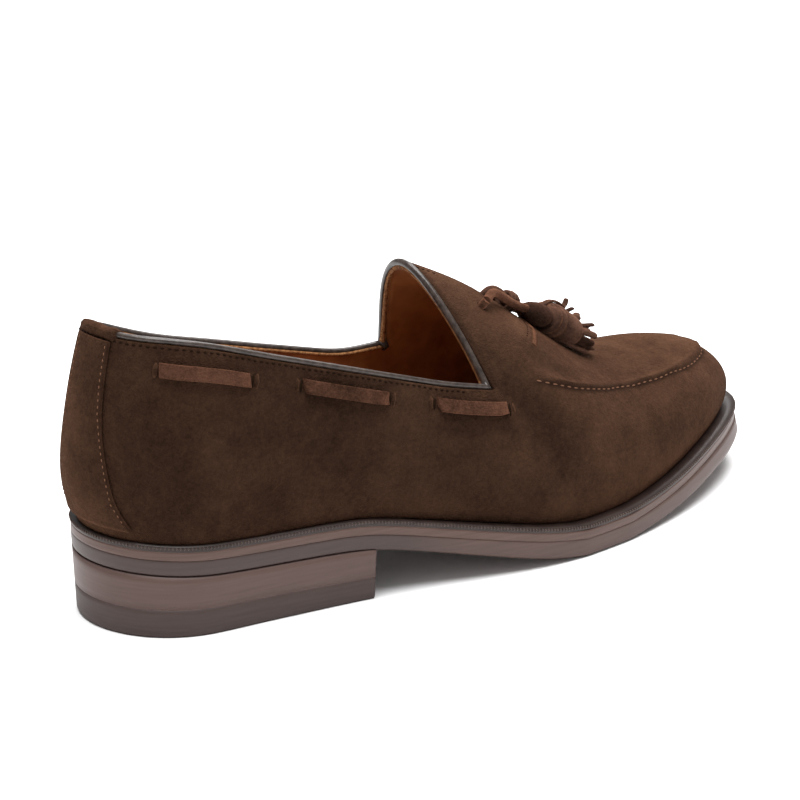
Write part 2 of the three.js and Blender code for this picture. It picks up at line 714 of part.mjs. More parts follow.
function laceRun({ from, to, drop }, outerSide) {
  const steps = 8;
  const cells = Array.from({ length: steps + 1 }, (_, i) => {
    const share = THREE.MathUtils.lerp(from, to, i / steps);
    const place = outerSide ? placeOf(share) : 2 - placeOf(share);
    const middle = riseAt(place, collarHeight(place) - drop);
    const reach = riseStep(place, middle, LACE_WIDTH / 2);
    return [-1, 0, 1].map((k) => [place, middle + k * reach]);
  });
  return patch(outerSide ? cells : cells.reverse(), LACE_THICKNESS);
}

// A point over the vamp's crown, from a row of the ties' tables
function crownPoint({ at, aside, above }, outerSide) {
  const place = outerSide ? placeOf(at) : 2 - placeOf(at);
  const rise = 1 - riseStep(place, 0.97, aside * TASSEL_WIDTH);
  return offsetPoint(place, rise, above * TIE_DIAMETER);
}

// The same outer surface with its points welded and its empty faces dropped
function welded(geometry) {
  const loose = geometry.index ? geometry.toNonIndexed() : geometry;
  const { position } = loose.attributes;
  const shell = new Shell();
  for (let i = 0; i < position.count; i += 1) {
    shell.corners.push(new THREE.Vector3().fromBufferAttribute(position, i));
  }
  return shell.geometry();
}

function toSolid(geometry) {
  const whole = welded(geometry);
  return new wasm.Manifold(new wasm.Mesh({
    numProp: 3,
    vertProperties: whole.attributes.position.array,
    triVerts: new Uint32Array(whole.index.array),
  }));
}

function fromSolid(solid) {
  const { vertProperties, triVerts } = solid.getMesh();
  const geometry = new THREE.BufferGeometry();
  geometry.setAttribute('position', new THREE.Float32BufferAttribute(vertProperties, 3));
  geometry.setIndex(Array.from(triVerts));
  geometry.computeVertexNormals();
  return geometry;
}

// A flat strip of the fringe, in a tassel's own frame: +Y from its head to its tip
function fringeStrip({ turn, reach, spread }, length) {
  const radius = TASSEL_WIDTH / 2;
  const way = new THREE.CatmullRomCurve3([
    new THREE.Vector3(0.50 * radius, 0.50 * length, 0),
    new THREE.Vector3(0.62 * radius, 0.66 * length, 0),
    new THREE.Vector3(THREE.MathUtils.lerp(0.62, spread, 0.4) * radius, 0.82 * length, 0),
    new THREE.Vector3(spread * radius, reach * length, 0),
  ]);
  const section = new THREE.Shape();
  section.moveTo(-FRINGE_WIDTH / 2, -FRINGE_THICKNESS / 2);
  section.lineTo(FRINGE_WIDTH / 2, -FRINGE_THICKNESS / 2);
  section.lineTo(FRINGE_WIDTH / 2, FRINGE_THICKNESS / 2);
  section.lineTo(-FRINGE_WIDTH / 2, FRINGE_THICKNESS / 2);
  const strip = new THREE.ExtrudeGeometry(section, { steps: 5, extrudePath: way, bevelEnabled: false });
  return strip.rotateY(THREE.MathUtils.degToRad(-turn));
}

// A bound tassel whose head is bored for the end of its tie
function tassel(rows, outerSide) {
  const head = crownPoint(rows.at(-2), outerSide);
  const tip = crownPoint(rows.at(-1), outerSide);
  const length = head.distanceTo(tip);
  const profile = TASSEL_FORM.map(({ along, half: wide }) => (
    new THREE.Vector2(wide * TASSEL_WIDTH / 2, along * length)));
  const body = new THREE.LatheGeometry([
    new THREE.Vector2(0, 0),
    ...profile,
    new THREE.Vector2(0, profile.at(-1).y),
  ], 16);
  const fringed = FRINGE.reduce((sum, row) => sum.add(toSolid(fringeStrip(row, length))), toSolid(body));
  const bore = new THREE.CylinderGeometry(
    TIE_DIAMETER / 2 + 2 * GAP,
    TIE_DIAMETER / 2 + 2 * GAP,
    2 * (TASSEL_BORE_DEPTH + GAP),
    16,
  );
  const flat = new THREE.Matrix4().makeScale(1, 1, TASSEL_FLATNESS);
  const flattened = toSolid(fromSolid(fringed).applyMatrix4(flat));
  const bored = fromSolid(flattened.subtract(toSolid(bore)));
  const axis = tip.clone().sub(head).normalize();
  const middle = { at: (rows.at(-2).at + rows.at(-1).at) / 2, aside: rows.at(-1).aside };
  const up = crownPoint({ ...middle, above: 1 }, outerSide)
    .sub(crownPoint({ ...middle, above: 0 }, outerSide));
  const side = axis.clone().cross(up).normalize();
  const frame = new THREE.Matrix4().makeBasis(side, axis, side.clone().cross(axis));
  return bored.applyMatrix4(frame.setPosition(head));
}

// The tie from its slot to the bottom of its tassel's bore
function tie(rows, outerSide) {
  const points = rows.map((row) => crownPoint(row, outerSide));
  const [head, tip] = points.slice(-2);
  const axis = tip.clone().sub(head).normalize();
  const inBore = [-0.2, 0.4, 1].map((t) => head.clone().addScaledVector(axis, t * TASSEL_BORE_DEPTH));
  const way = new THREE.CatmullRomCurve3([...points.slice(0, -2), ...inBore]);
  const section = new THREE.Shape();
  section.absarc(0, 0, TIE_DIAMETER / 2, 0, 2 * Math.PI);
  return welded(new THREE.ExtrudeGeometry(section, {
    steps: 16,
    curveSegments: 4,
    extrudePath: way,
    bevelEnabled: false,
  }));
}

function laceKnot() {
  const centre = crownPoint(KNOT_PLACE, true);
  const above = crownPoint({ ...KNOT_PLACE, above: 2 }, true).sub(centre).normalize();
  const ahead = crownPoint({ ...KNOT_PLACE, at: KNOT_PLACE.at + 0.02 }, true).sub(centre).normalize();
  const across = above.clone().cross(ahead).normalize();
  const lump = new THREE.SphereGeometry(0.5, 12, 8);
  lump.scale(KNOT_LENGTH, KNOT_WIDTH, KNOT_HEIGHT);
  const frame = new THREE.Matrix4().makeBasis(across.clone().cross(above), across, above);
  return welded(lump.applyMatrix4(frame.setPosition(centre)));
}

const suede = (color) => new THREE.MeshStandardMaterial({ color, roughness: 0.95, metalness: 0 });
const suedeBrown = suede(0x46302a);
const laceBrown = suede(0x6b4636);
const bindingLeather = new THREE.MeshStandardMaterial({ color: 0x3b3532, roughness: 0.4, metalness: 0 });
const soleLeather = new THREE.MeshStandardMaterial({ color: 0x7a6660, roughness: 0.6, metalness: 0 });
const soleDark = new THREE.MeshStandardMaterial({ color: 0x564a48, roughness: 0.6, metalness: 0 });
const rubber = new THREE.MeshStandardMaterial({ color: 0x544a46, roughness: 0.7, metalness: 0 });
const lining = new THREE.MeshStandardMaterial({ color: 0x96551f, roughness: 0.6, metalness: 0 });

const shoe = new THREE.Group();

function add(name, geometry, material) {
  const mesh = new THREE.Mesh(geometry, material);
  mesh.name = name;
  shoe.add(mesh);
}

add('outsole', outsole(), soleDark);
add('midsole', midsole(), soleLeather);
add('welt', welt(), soleDark);
add('heel_lift', heelLift(), soleLeather);
add('heel_top_piece', heelTopPiece(), rubber);
add('insole', insole(), lining);
add('upper', upper(), suedeBrown);
add('collar_binding', collarBinding(), bindingLeather);
add('back_strip', backStrip(), suedeBrown);
LACE_RUNS.forEach((run, i) => add(`lace_outer_${i + 1}`, laceRun(run, true), laceBrown));
LACE_RUNS.forEach((run, i) => add(`lace_inner_${i + 1}`, laceRun(run, false), laceBrown));
add('lace_tie_1', tie(TIE_OUTER, true), laceBrown);
add('lace_tie_2', tie(TIE_INNER, false), laceBrown);
add('lace_knot', laceKnot(), laceBrown);
add('tassel_1', tassel(TIE_OUTER, true), laceBrown);
add('tassel_2', tassel(TIE_INNER, false), laceBrown);

// The middle of the shoe's plan comes to the origin
const middle = new THREE.Box3().setFromObject(shoe).getCenter(new THREE.Vector3());
shoe.position.set(-middle.x, -middle.y, 0);

export default shoe;
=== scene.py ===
# %% [markdown]
# A right-hand suede tassel loafer, standing empty on its leather sole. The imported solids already
# have the shoe's true forms, so this lesson smooths them, gives each its finish, and adds what
# is too fine for a solid: stitches, the wheeled edge of the welt, folds and the soft fringe.

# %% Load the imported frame
import math
import bmesh
import bpy
from mathutils import Matrix, Vector
from mathutils.bvhtree import BVHTree
from mathutils.kdtree import KDTree


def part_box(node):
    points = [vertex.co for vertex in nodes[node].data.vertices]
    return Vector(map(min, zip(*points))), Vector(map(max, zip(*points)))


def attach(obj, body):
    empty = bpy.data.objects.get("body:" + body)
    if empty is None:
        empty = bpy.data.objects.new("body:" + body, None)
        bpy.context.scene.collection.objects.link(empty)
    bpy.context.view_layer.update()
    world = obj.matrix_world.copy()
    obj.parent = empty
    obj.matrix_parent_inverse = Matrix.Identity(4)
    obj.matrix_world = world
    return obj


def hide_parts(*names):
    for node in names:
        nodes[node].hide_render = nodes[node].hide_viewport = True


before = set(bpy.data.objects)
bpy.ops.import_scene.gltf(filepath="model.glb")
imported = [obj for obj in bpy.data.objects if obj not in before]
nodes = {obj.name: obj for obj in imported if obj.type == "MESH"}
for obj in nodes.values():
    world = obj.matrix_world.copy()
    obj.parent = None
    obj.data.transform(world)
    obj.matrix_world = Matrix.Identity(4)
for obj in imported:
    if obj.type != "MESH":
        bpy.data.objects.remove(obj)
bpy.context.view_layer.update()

MM = 0.001
SIDES = (("outer", -1), ("inner", 1))
UPWARD = Vector((0, 0, 1))
print("nodes", len(nodes))

# %% [markdown]
# The camera stands low and to the outer side of the heel, with a long lens, as a shop photograph
# is taken. Its place is a turn, a tilt and a distance from the middle of the shoe.

# %% Camera
CAMERA_TURN = math.radians(-36.251)
CAMERA_TILT = math.radians(18.475)
CAMERA_DISTANCE = 1.40607
CAMERA_AIM = Vector((-0.01508, 0.00093, 0.05615))
FOCAL_LENGTH = 173.85
SENSOR_WIDTH = 36
FAR_CLIP = 20
back = Vector((
    math.sin(CAMERA_TURN) * math.cos(CAMERA_TILT),
    -math.cos(CAMERA_TURN) * math.cos(CAMERA_TILT),
    math.sin(CAMERA_TILT),
))
lens = bpy.data.cameras.new("camera")
lens.lens = FOCAL_LENGTH
lens.sensor_width = SENSOR_WIDTH
lens.clip_end = FAR_CLIP
camera = bpy.data.objects.new("camera", lens)
camera.location = CAMERA_AIM + back * CAMERA_DISTANCE
camera.rotation_euler = (-back).to_track_quat("-Z", "Y").to_euler()
bpy.context.scene.collection.objects.link(camera)
bpy.context.scene.camera = camera
print("camera", [round(c, 3) for c in camera.location])

# %% [markdown]
# Suede is leather brushed until its fibres stand up. It has no gloss: what shows is a soft,
# blotchy change of tone where the nap lies one way or the other, over a fine tooth. One group of
# nodes makes both, and each suede below places it with its own colours.

# %% Nap of suede, as a group
def new_group(name, inputs, outputs):
    group = bpy.data.node_groups.new(name, "ShaderNodeTree")
    for label, kind in inputs:
        group.interface.new_socket(label, in_out="INPUT", socket_type=kind)
    for label, kind in outputs:
        group.interface.new_socket(label, in_out="OUTPUT", socket_type=kind)
    return group, group.nodes.new("NodeGroupInput"), group.nodes.new("NodeGroupOutput")


def feed(tree, *pairs):
    """Link each value that is a socket, and set each one that is plain."""
    for socket, value in pairs:
        if isinstance(value, bpy.types.NodeSocket):
            tree.links.new(value, socket)
        else:
            socket.default_value = value


def noise(tree, scale, detail, roughness, vector):
    node = tree.nodes.new("ShaderNodeTexNoise")
    node.inputs["Scale"].default_value = scale
    node.inputs["Detail"].default_value = detail
    node.inputs["Roughness"].default_value = roughness
    tree.links.new(vector, node.inputs["Vector"])
    return node.outputs["Fac"]


def remap(tree, value, low, high, to_low=0.0, to_high=1.0):
    node = tree.nodes.new("ShaderNodeMapRange")
    tree.links.new(value, node.inputs["Value"])
    node.inputs["From Min"].default_value = low
    node.inputs["From Max"].default_value = high
    node.inputs["To Min"].default_value = to_low
    node.inputs["To Max"].default_value = to_high
    return node.outputs["Result"]


def blend(tree, factor, first, second, mode="MIX"):
    node = tree.nodes.new("ShaderNodeMix")
    node.data_type = "RGBA"
    node.blend_type = mode
    feed(tree, (node.inputs["Factor"], factor), (node.inputs[6], first), (node.inputs[7], second))
    return node.outputs[2]


def math_node(tree, operation, first, second):
    node = tree.nodes.new("ShaderNodeMath")
    node.operation = operation
    feed(tree, (node.inputs[0], first), (node.inputs[1], second))
    return node.outputs[0]


def weighted(tree, *parts):
    """The sum of values, each times its weight."""
    total = 0.0
    for value, weight in parts:
        total = math_node(tree, "ADD", total, math_node(tree, "MULTIPLY", value, weight))
    return total


# The Shade input paints shade: it darkens the suede towards a near-black brown in fold troughs and
# along the apron seam.
PAINTED_SHADE_DEPTH = 0.75
PAINTED_SHADE_COLOUR = (0.006, 0.003, 0.002, 1)
nap, nap_in, nap_out = new_group(
    "suede nap",
    [
        ("Vector", "NodeSocketVector"), ("Dark", "NodeSocketColor"),
        ("Light", "NodeSocketColor"), ("Shade", "NodeSocketFloat"),
    ],
    [("Color", "NodeSocketColor"), ("Height", "NodeSocketFloat")],
)
where = nap_in.outputs["Vector"]
patches = remap(nap, noise(nap, 38, 3, 0.6, where), 0.36, 0.66)
mottle = remap(nap, noise(nap, 240, 4, 0.65, where), 0.3, 0.7)
fibres = remap(nap, noise(nap, 1400, 2, 0.6, where), 0.3, 0.7)
specks = remap(nap, noise(nap, 620, 3, 0.7, where), 0.32, 0.68)
tone = weighted(nap, (patches, 0.36), (mottle, 0.18), (specks, 0.28), (fibres, 0.18))
lit = blend(nap, tone, nap_in.outputs["Dark"], nap_in.outputs["Light"])
# Painted shade: the Shade input mixes the nap colour towards the dark shade colour.
painted_shade_amount = math_node(nap, "MULTIPLY", nap_in.outputs["Shade"], PAINTED_SHADE_DEPTH)
nap.links.new(blend(nap, painted_shade_amount, lit, PAINTED_SHADE_COLOUR), nap_out.inputs["Color"])
nap.links.new(weighted(nap, (fibres, 0.7), (mottle, 0.6)), nap_out.inputs["Height"])
print("group", nap.name)

# %% [markdown]
# Every finish ends in its own Principled shader. The helper sets the plain values on the shader's
# sockets and hands back the node tree, so the cells below only add what varies. Suede seen edge-on
# looks paler as its fibres catch the light; here that is a painted sheen: a weight for the angle of
# view lightens the colour edge-on and darkens it face-on.

# %% A helper for finishes
PAINTED_SHEEN_FACING = (0.66, 0.66, 0.66, 1)
PAINTED_SHEEN_EDGE_ON = (1.45, 1.38, 1.32, 1)
FIBRE_DEPTH = 0.5 * MM


def finish_of(name, roughness, sheen=0.0, coat=0.0, specular=0.5):
    material = bpy.data.materials.new(name)
    material.use_nodes = True
    tree = material.node_tree
    shader = tree.nodes["Principled BSDF"]
    shader.inputs["Roughness"].default_value = roughness
    shader.inputs["Sheen Weight"].default_value = sheen
    shader.inputs["Sheen Roughness"].default_value = 0.6
    shader.inputs["Sheen Tint"].default_value = (0.9, 0.75, 0.66, 1)
    shader.inputs["Coat Weight"].default_value = coat
    shader.inputs["Coat Roughness"].default_value = 0.3
    shader.inputs["Specular IOR Level"].default_value = specular
    coordinates = tree.nodes.new("ShaderNodeTexCoord").outputs["Object"]
    return material, tree, shader, coordinates


def bump(tree, shader, height, strength, distance):
    node = tree.nodes.new("ShaderNodeBump")
    node.inputs["Strength"].default_value = strength
    node.inputs["Distance"].default_value = distance
    tree.links.new(height, node.inputs["Height"])
    tree.links.new(node.outputs["Normal"], shader.inputs["Normal"])


def suede(name, dark, light, sheen):
    material, tree, shader, coordinates = finish_of(name, 0.95, sheen=sheen, specular=0.02)
    group = tree.nodes.new("ShaderNodeGroup")
    group.node_tree = nap
    group.inputs["Dark"].default_value = dark
    group.inputs["Light"].default_value = light
    shade = tree.nodes.new("ShaderNodeAttribute")
    shade.attribute_name = "shade"
    tree.links.new(shade.outputs["Fac"], group.inputs["Shade"])
    tree.links.new(coordinates, group.inputs["Vector"])
    angle = tree.nodes.new("ShaderNodeLayerWeight")
    angle.inputs["Blend"].default_value = 0.5
    # Painted sheen: the colour is darkened where the suede faces the camera and lightened where it
    # is seen edge-on.
    painted_sheen = blend(tree, remap(tree, angle.outputs["Facing"], 0.15, 0.8), PAINTED_SHEEN_FACING, PAINTED_SHEEN_EDGE_ON)
    colour = blend(tree, 1.0, group.outputs["Color"], painted_sheen, "MULTIPLY")
    tree.links.new(colour, shader.inputs["Base Color"])
    bump(tree, shader, group.outputs["Height"], 0.8, FIBRE_DEPTH)
    return material


body_suede = suede("dark brown suede", (0.015, 0.0068, 0.0038, 1), (0.072, 0.036, 0.0215, 1), 0.006)
lace_suede = suede("lace suede", (0.010, 0.0040, 0.0022, 1), (0.150, 0.068, 0.042, 1), 0.008)
tassel_suede = suede("tassel suede", (0.020, 0.010, 0.007, 1), (0.110, 0.055, 0.037, 1), 0.008)
# A darker copy of the tassel suede, used as painted shade on the tassel.
tassel_painted_shade = suede(
    "tassel suede in shade", (0.010, 0.005, 0.0035, 1), (0.062, 0.030, 0.020, 1), 0.004)
tab_suede = suede("cut edge of suede", (0.036, 0.016, 0.009, 1), (0.150, 0.068, 0.038, 1), 0.01)
print("suedes ready")

# %% [markdown]
# The lining is smooth vegetable-tanned leather with a faint grain. The piping round the collar is
# a glossier strip, so it takes a thin coat and catches a highlight.

# %% Smooth leathers
GRAIN_DEPTH = 0.2 * MM


def leather(name, blotches, dark, light, grain, strength, depth, **look):
    """Blotches and grain are each a noise's scale, detail and roughness."""
    material, tree, shader, coordinates = finish_of(name, **look)
    mask = remap(tree, noise(tree, *blotches, coordinates), 0.35, 0.65)
    tree.links.new(blend(tree, mask, dark, light), shader.inputs["Base Color"])
    bump(tree, shader, noise(tree, *grain, coordinates), strength, depth)
    return material


lining_leather = leather(
    "tan lining leather", (60, 3, 0.6), (0.20, 0.066, 0.018, 1), (0.33, 0.125, 0.038, 1),
    (1300, 3, 0.6), 0.25, GRAIN_DEPTH, roughness=0.55, coat=0.1)
piping_leather = leather(
    "collar piping leather", (500, 3, 0.6), (0.016, 0.0105, 0.0085, 1), (0.050, 0.036, 0.030, 1),
    (900, 3, 0.6), 0.3, GRAIN_DEPTH, roughness=0.30, coat=0.05, specular=0.35)
print("smooth leathers ready")

# %% [markdown]
# The sole's edges are sanded, stained and waxed. The stain takes unevenly, in streaks that run
# along the layers, and the outsole is darker from the waist back than in the forepart.

# %% Waxed sole edges
STREAK_STRETCH = (12, 12, 260)
REAR_ENDS, FOREPART_STARTS = -44 * MM, -20 * MM


def sole_edge(name, dark, light, rear_dark=None, rear_light=None, roughness=0.5):
    material, tree, shader, coordinates = finish_of(name, roughness, coat=0.05, specular=0.3)
    stretch = tree.nodes.new("ShaderNodeMapping")
    stretch.inputs["Scale"].default_value = STREAK_STRETCH
    tree.links.new(coordinates, stretch.inputs["Vector"])
    streaks = remap(tree, noise(tree, 4, 4, 0.6, stretch.outputs["Vector"]), 0.3, 0.7)
    colour = blend(tree, streaks, dark, light)
    if rear_dark is not None:
        rear = blend(tree, streaks, rear_dark, rear_light)
        parts = tree.nodes.new("ShaderNodeSeparateXYZ")
        tree.links.new(coordinates, parts.inputs["Vector"])
        ahead = remap(tree, parts.outputs["X"], REAR_ENDS, FOREPART_STARTS)
        colour = blend(tree, ahead, rear, colour)
    tree.links.new(colour, shader.inputs["Base Color"])
    bump(tree, shader, noise(tree, 900, 3, 0.6, coordinates), 0.2, GRAIN_DEPTH)
    return material


LIGHT_STAIN = ((0.066, 0.038, 0.031, 1), (0.088, 0.052, 0.043, 1))
DARK_STAIN = ((0.042, 0.026, 0.022, 1), (0.054, 0.034, 0.030, 1))
outsole_edge = sole_edge("outsole edge", *LIGHT_STAIN, *DARK_STAIN)
midsole_edge = sole_edge("midsole edge", (0.070, 0.038, 0.030, 1), (0.100, 0.057, 0.046, 1))
lift_edge = sole_edge("heel lift edge", (0.076, 0.044, 0.037, 1), (0.092, 0.055, 0.047, 1))
top_piece_rubber = sole_edge(
    "heel top piece", (0.044, 0.027, 0.024, 1), (0.056, 0.036, 0.032, 1), roughness=0.6)
welt_edge = sole_edge(
    "welt edge", (0.016, 0.009, 0.007, 1), (0.032, 0.019, 0.015, 1), roughness=0.45)
tooth_edge = sole_edge(
    "wheeled teeth", (0.040, 0.024, 0.019, 1), (0.082, 0.053, 0.043, 1), roughness=0.4)
print("sole finishes ready")

# %% [markdown]
# Thread is waxed linen or polyester. Tan thread sews the apron and the back strip, and the row
# under the collar is so dark that it reads as holes.

# %% Thread
def thread(name, colour):
    material, tree, shader, coordinates = finish_of(name, 0.9, specular=0.0)
    pale = tuple(min(1.0, c * 1.5) for c in colour[:3]) + (1,)
    tint = blend(tree, noise(tree, 1800, 2, 0.5, coordinates), colour, pale)
    tree.links.new(tint, shader.inputs["Base Color"])
    return material


tan_thread = thread("tan thread", (0.115, 0.058, 0.036, 1))
dark_thread = thread("dark thread", (0.009, 0.005, 0.003, 1))
print("threads ready")

# %% [markdown]
# Every piece is made in the same few steps: an object for its shape, a word on the body that it
# rides on, and what solid it stands in for, if any. Many are then smoothed.

# %% Helpers for pieces
def new_piece(name, data, stands_for=None):
    piece = bpy.data.objects.new(name, data)
    bpy.context.scene.collection.objects.link(piece)
    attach(piece, "root")
    if stands_for:
        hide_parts(stands_for)
    return piece


def smoothed(piece, levels):
    smooth = piece.modifiers.new("smooth", "SUBSURF")
    smooth.levels = levels
    smooth.render_levels = levels


print("helpers ready")

# %% [markdown]
# The free ends of the lace are cords. Each comes out of a slot beside the ridge of the vamp, bends
# over in a low arch, passes the knot and goes into the head of its tassel.

# %% Lace ties
def through(points, steps=6):
    """Points of a smooth line through a few marks."""
    marks = [Vector(p) * MM for p in points]
    marks = [marks[0] * 2 - marks[1]] + marks + [marks[-1] * 2 - marks[-2]]
    line = []
    for a, b, c, d in zip(marks, marks[1:], marks[2:], marks[3:]):
        for k in range(steps):
            t = k / steps
            line.append(0.5 * (
                2 * b + (c - a) * t + (2 * a - 5 * b + 4 * c - d) * t * t
                + (3 * b - a - 3 * c + d) * t ** 3))
    line.append(marks[-2])
    return line


def cord_curve(name, line, radius, material, stands_for=None):
    curve = bpy.data.curves.new(name, "CURVE")
    curve.dimensions = "3D"
    curve.bevel_depth = radius
    curve.bevel_resolution = 4
    curve.use_fill_caps = True
    spline = curve.splines.new("POLY")
    spline.points.add(len(line) - 1)
    for point, place in zip(spline.points, line):
        point.co = (*place, 1)
    curve.materials.append(material)
    return new_piece(name, curve, stands_for)


TIE_RADIUS = 1.6 * MM
TIES = {
    "lace_tie_1": [
        (11.42, -15.82, 93.46), (17.74, -12.23, 94.30), (30.24, -6.90, 86.70),
        (37.84, -7.64, 82.87), (42.71, -7.14, 79.94), (47.57, -6.63, 77.01),
    ],
    "lace_tie_2": [
        (33.23, 15.87, 82.68), (36.44, 9.74, 83.58), (41.36, 7.04, 79.67),
        (49.29, 10.24, 76.06), (54.41, 11.23, 73.77), (59.54, 12.22, 71.49),
    ],
}
tie_pieces = []
for node, marks in TIES.items():
    line = through(marks)
    length = sum((b - a).length for a, b in zip(line, line[1:]))
    piece = cord_curve("fine_" + node, line, TIE_RADIUS, lace_suede, stands_for=node)
    tie_pieces.append((piece, line, length))
    print(node, "length", round(length, 4))

# %% [markdown]
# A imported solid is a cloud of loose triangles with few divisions. A copy of it is merged, its
# triangles are joined to four-sided faces, its sharp edges are creased, and a Subdivision Surface
# makes its curves smooth. It keeps the solid's form and place.

# %% Smooth copies of the solids
WELD = 0.01 * MM
FLAT_ENOUGH = 0.7
SEAT = 0.16 * MM
PIPING_SLIMMED = 0.2 * MM
PIPING_SUNK = 0.45


def welded(node):
    bm = bmesh.new()
    bm.from_mesh(nodes[node].data)
    bmesh.ops.remove_doubles(bm, verts=bm.verts, dist=WELD)
    return bm


def throat_share(place):
    """0 along the sides of the collar, rising to 1 up the throat."""
    return min(max((place.z - 0.066) / 0.010, 0), 1) if place.x > -0.020 else 0


def refined(node, material, sharp=50, levels=2, hold=0.9, seat=0.0, swell=0.0):
    """A smooth copy; seat closes the gap to the layers above and below, swell fattens."""
    mesh = bpy.data.meshes.new("fine_" + node)
    bm = welded(node)
    bmesh.ops.join_triangles(
        bm, faces=bm.faces,
        angle_face_threshold=math.radians(35), angle_shape_threshold=math.radians(80))
    crease = bm.edges.layers.float.new("crease_edge")
    for edge in bm.edges:
        if len(edge.link_faces) == 2 and edge.calc_face_angle() > math.radians(sharp):
            edge[crease] = hold
    for vertex in bm.verts:
        rises = [face.normal.z for face in vertex.link_faces]
        if seat and max(rises) > FLAT_ENOUGH:
            vertex.co.z += seat
        elif seat and min(rises) < -FLAT_ENOUGH and vertex.co.z > 2 * seat:
            vertex.co.z -= seat
        vertex.co += vertex.normal * swell
    for face in bm.faces:
        face.smooth = True
        face.material_index = 0
    bm.to_mesh(mesh)
    bm.free()
    if "custom_normal" in mesh.attributes:
        mesh.attributes.remove(mesh.attributes["custom_normal"])
    mesh.materials.clear()
    mesh.materials.append(material)
    piece = new_piece("fine_" + node, mesh, stands_for=node)
    smoothed(piece, levels)
    return piece


upper = refined("upper", body_suede, sharp=55)
for node, finish, slot, sharp in (
    ("outsole", outsole_edge, "sole_dark", 25),
    ("midsole", midsole_edge, "sole_leather", 40),
    ("welt", welt_edge, "sole_dark", 40),
    ("heel_lift", lift_edge, "sole_leather", 35),
    ("heel_top_piece", top_piece_rubber, "heel_rubber", 30),
):
    refined(node, finish, sharp=sharp, hold=1.0, seat=SEAT)
refined("insole", lining_leather, sharp=40)
binding = refined("collar_binding", piping_leather, sharp=60, swell=-PIPING_SLIMMED)
for vertex in binding.data.vertices:
    throat = throat_share(vertex.co)
    vertex.co += Vector((PIPING_SUNK * throat, 0, 0.25 * throat - PIPING_SUNK)) * MM
back_strip = refined("back_strip", body_suede, sharp=60)

# %% [markdown]
# The upper needs real faces for its folds, so its smoothing is turned into mesh. Faces whose
# outward side looks at the hollow's middle line are lined with tan leather.

# %% Real faces and lining
HOLLOW_REAR, HOLLOW_FRONT = -105 * MM, 95 * MM


def hollow_middle(x, height):
    """The spot of the hollow's middle line that is level with x."""
    return Vector((min(max(x, HOLLOW_REAR), HOLLOW_FRONT), 2 * MM, height))


def made_real(piece):
    bpy.context.view_layer.update()
    evaluated = piece.evaluated_get(bpy.context.evaluated_depsgraph_get())
    mesh = bpy.data.meshes.new_from_object(evaluated)
    piece.modifiers.clear()
    piece.data = mesh
    return mesh


skin = made_real(upper)
skin.materials.append(lining_leather)
for face in skin.polygons:
    if face.normal.dot(face.center - hollow_middle(face.center.x, 45 * MM)) < 0:
        face.material_index = 1
print("upper faces", len(skin.polygons))

# %% [markdown]
# The lace is woven through slots under the collar. What shows are short flat runs whose ends dive
# into the suede. Each copy of a run has its end points pushed in, so that it bends into its slot.

# %% Lace runs
LACE_FATTENED = 0.1 * MM
END_PUSHED_IN = 1.7 * MM
RUN_RAISED = 0.35 * MM


def lace_run(node):
    """A smooth run of lace; it gives back the place and the way out at each end."""
    piece = refined(
        node, lace_suede, sharp=60, hold=0.7, levels=3, swell=LACE_FATTENED)
    verts = piece.data.vertices
    low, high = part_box(node)
    end_part = (high[0] - low[0]) / 6
    first = [v.co for v in verts if v.co.x < low[0] + end_part]
    last = [v.co for v in verts if v.co.x > high[0] - end_part]
    start = sum(first, Vector()) / len(first)
    run = sum(last, Vector()) / len(last) - start
    shares = [(v.co - start).dot(run) / run.length_squared for v in verts]
    near, far = min(shares), max(shares)
    ends = []
    for edge, sign in ((near, -1), (far, 1)):
        tip = [v for v, share in zip(verts, shares) if abs(share - edge) < 0.05]
        ends.append((start + run * (edge + sign * 0.01), run.normalized() * sign))
        for v in tip:
            v.co.y -= math.copysign(END_PUSHED_IN, v.co.y)
    for v in verts:
        v.co.y += math.copysign(RUN_RAISED, v.co.y)
    return ends


lace_ends = []
for label, _ in SIDES:
    for number in (1, 2, 3):
        lace_ends += lace_run(f"lace_{label}_{number}")
print("lace ends", len(lace_ends))

# %% [markdown]
# Stitches are placed by casting rays at the shoe's own surfaces, so each lies on what it sews. A
# stitch is one flattened bead, and a whole row of them is a single mesh.

# %% Rays and rows of stitches
bpy.context.view_layer.update()
depsgraph = bpy.context.evaluated_depsgraph_get()
upper_tree = BVHTree.FromObject(upper, depsgraph)
strip_tree = BVHTree.FromObject(back_strip, depsgraph)


RAY_START = 0.2
RAY_REACH = 0.5
LONGEST_STEP = 20 * MM
SHORTEST_STEP = 1e-9


def facing(tree, origin, direction):
    """The first place with its normal that a ray meets, or nothing."""
    place, normal, _, _ = tree.ray_cast(Vector(origin), Vector(direction).normalized(), RAY_REACH)
    return (place, normal) if place is not None else None


def spaced(hits, pitch):
    """Marks at an even pitch along a list of places with normals."""
    marks = []
    left = 0.0
    for (a, na), (b, nb) in zip(hits, hits[1:]):
        step = (b - a).length
        if step > LONGEST_STEP or step < SHORTEST_STEP:
            continue
        while left <= step:
            share = left / step
            normal = na.lerp(nb, share).normalized()
            marks.append((a.lerp(b, share), (b - a).normalized(), normal))
            left += pitch
        left -= step
    return marks


def between(rows, x):
    """A value between the rows of a table, and the last one beyond it."""
    for (xa, ya), (xb, yb) in zip(rows, rows[1:]):
        if x <= xb:
            return ya + (yb - ya) * (x - xa) / (xb - xa)
    return rows[-1][1]


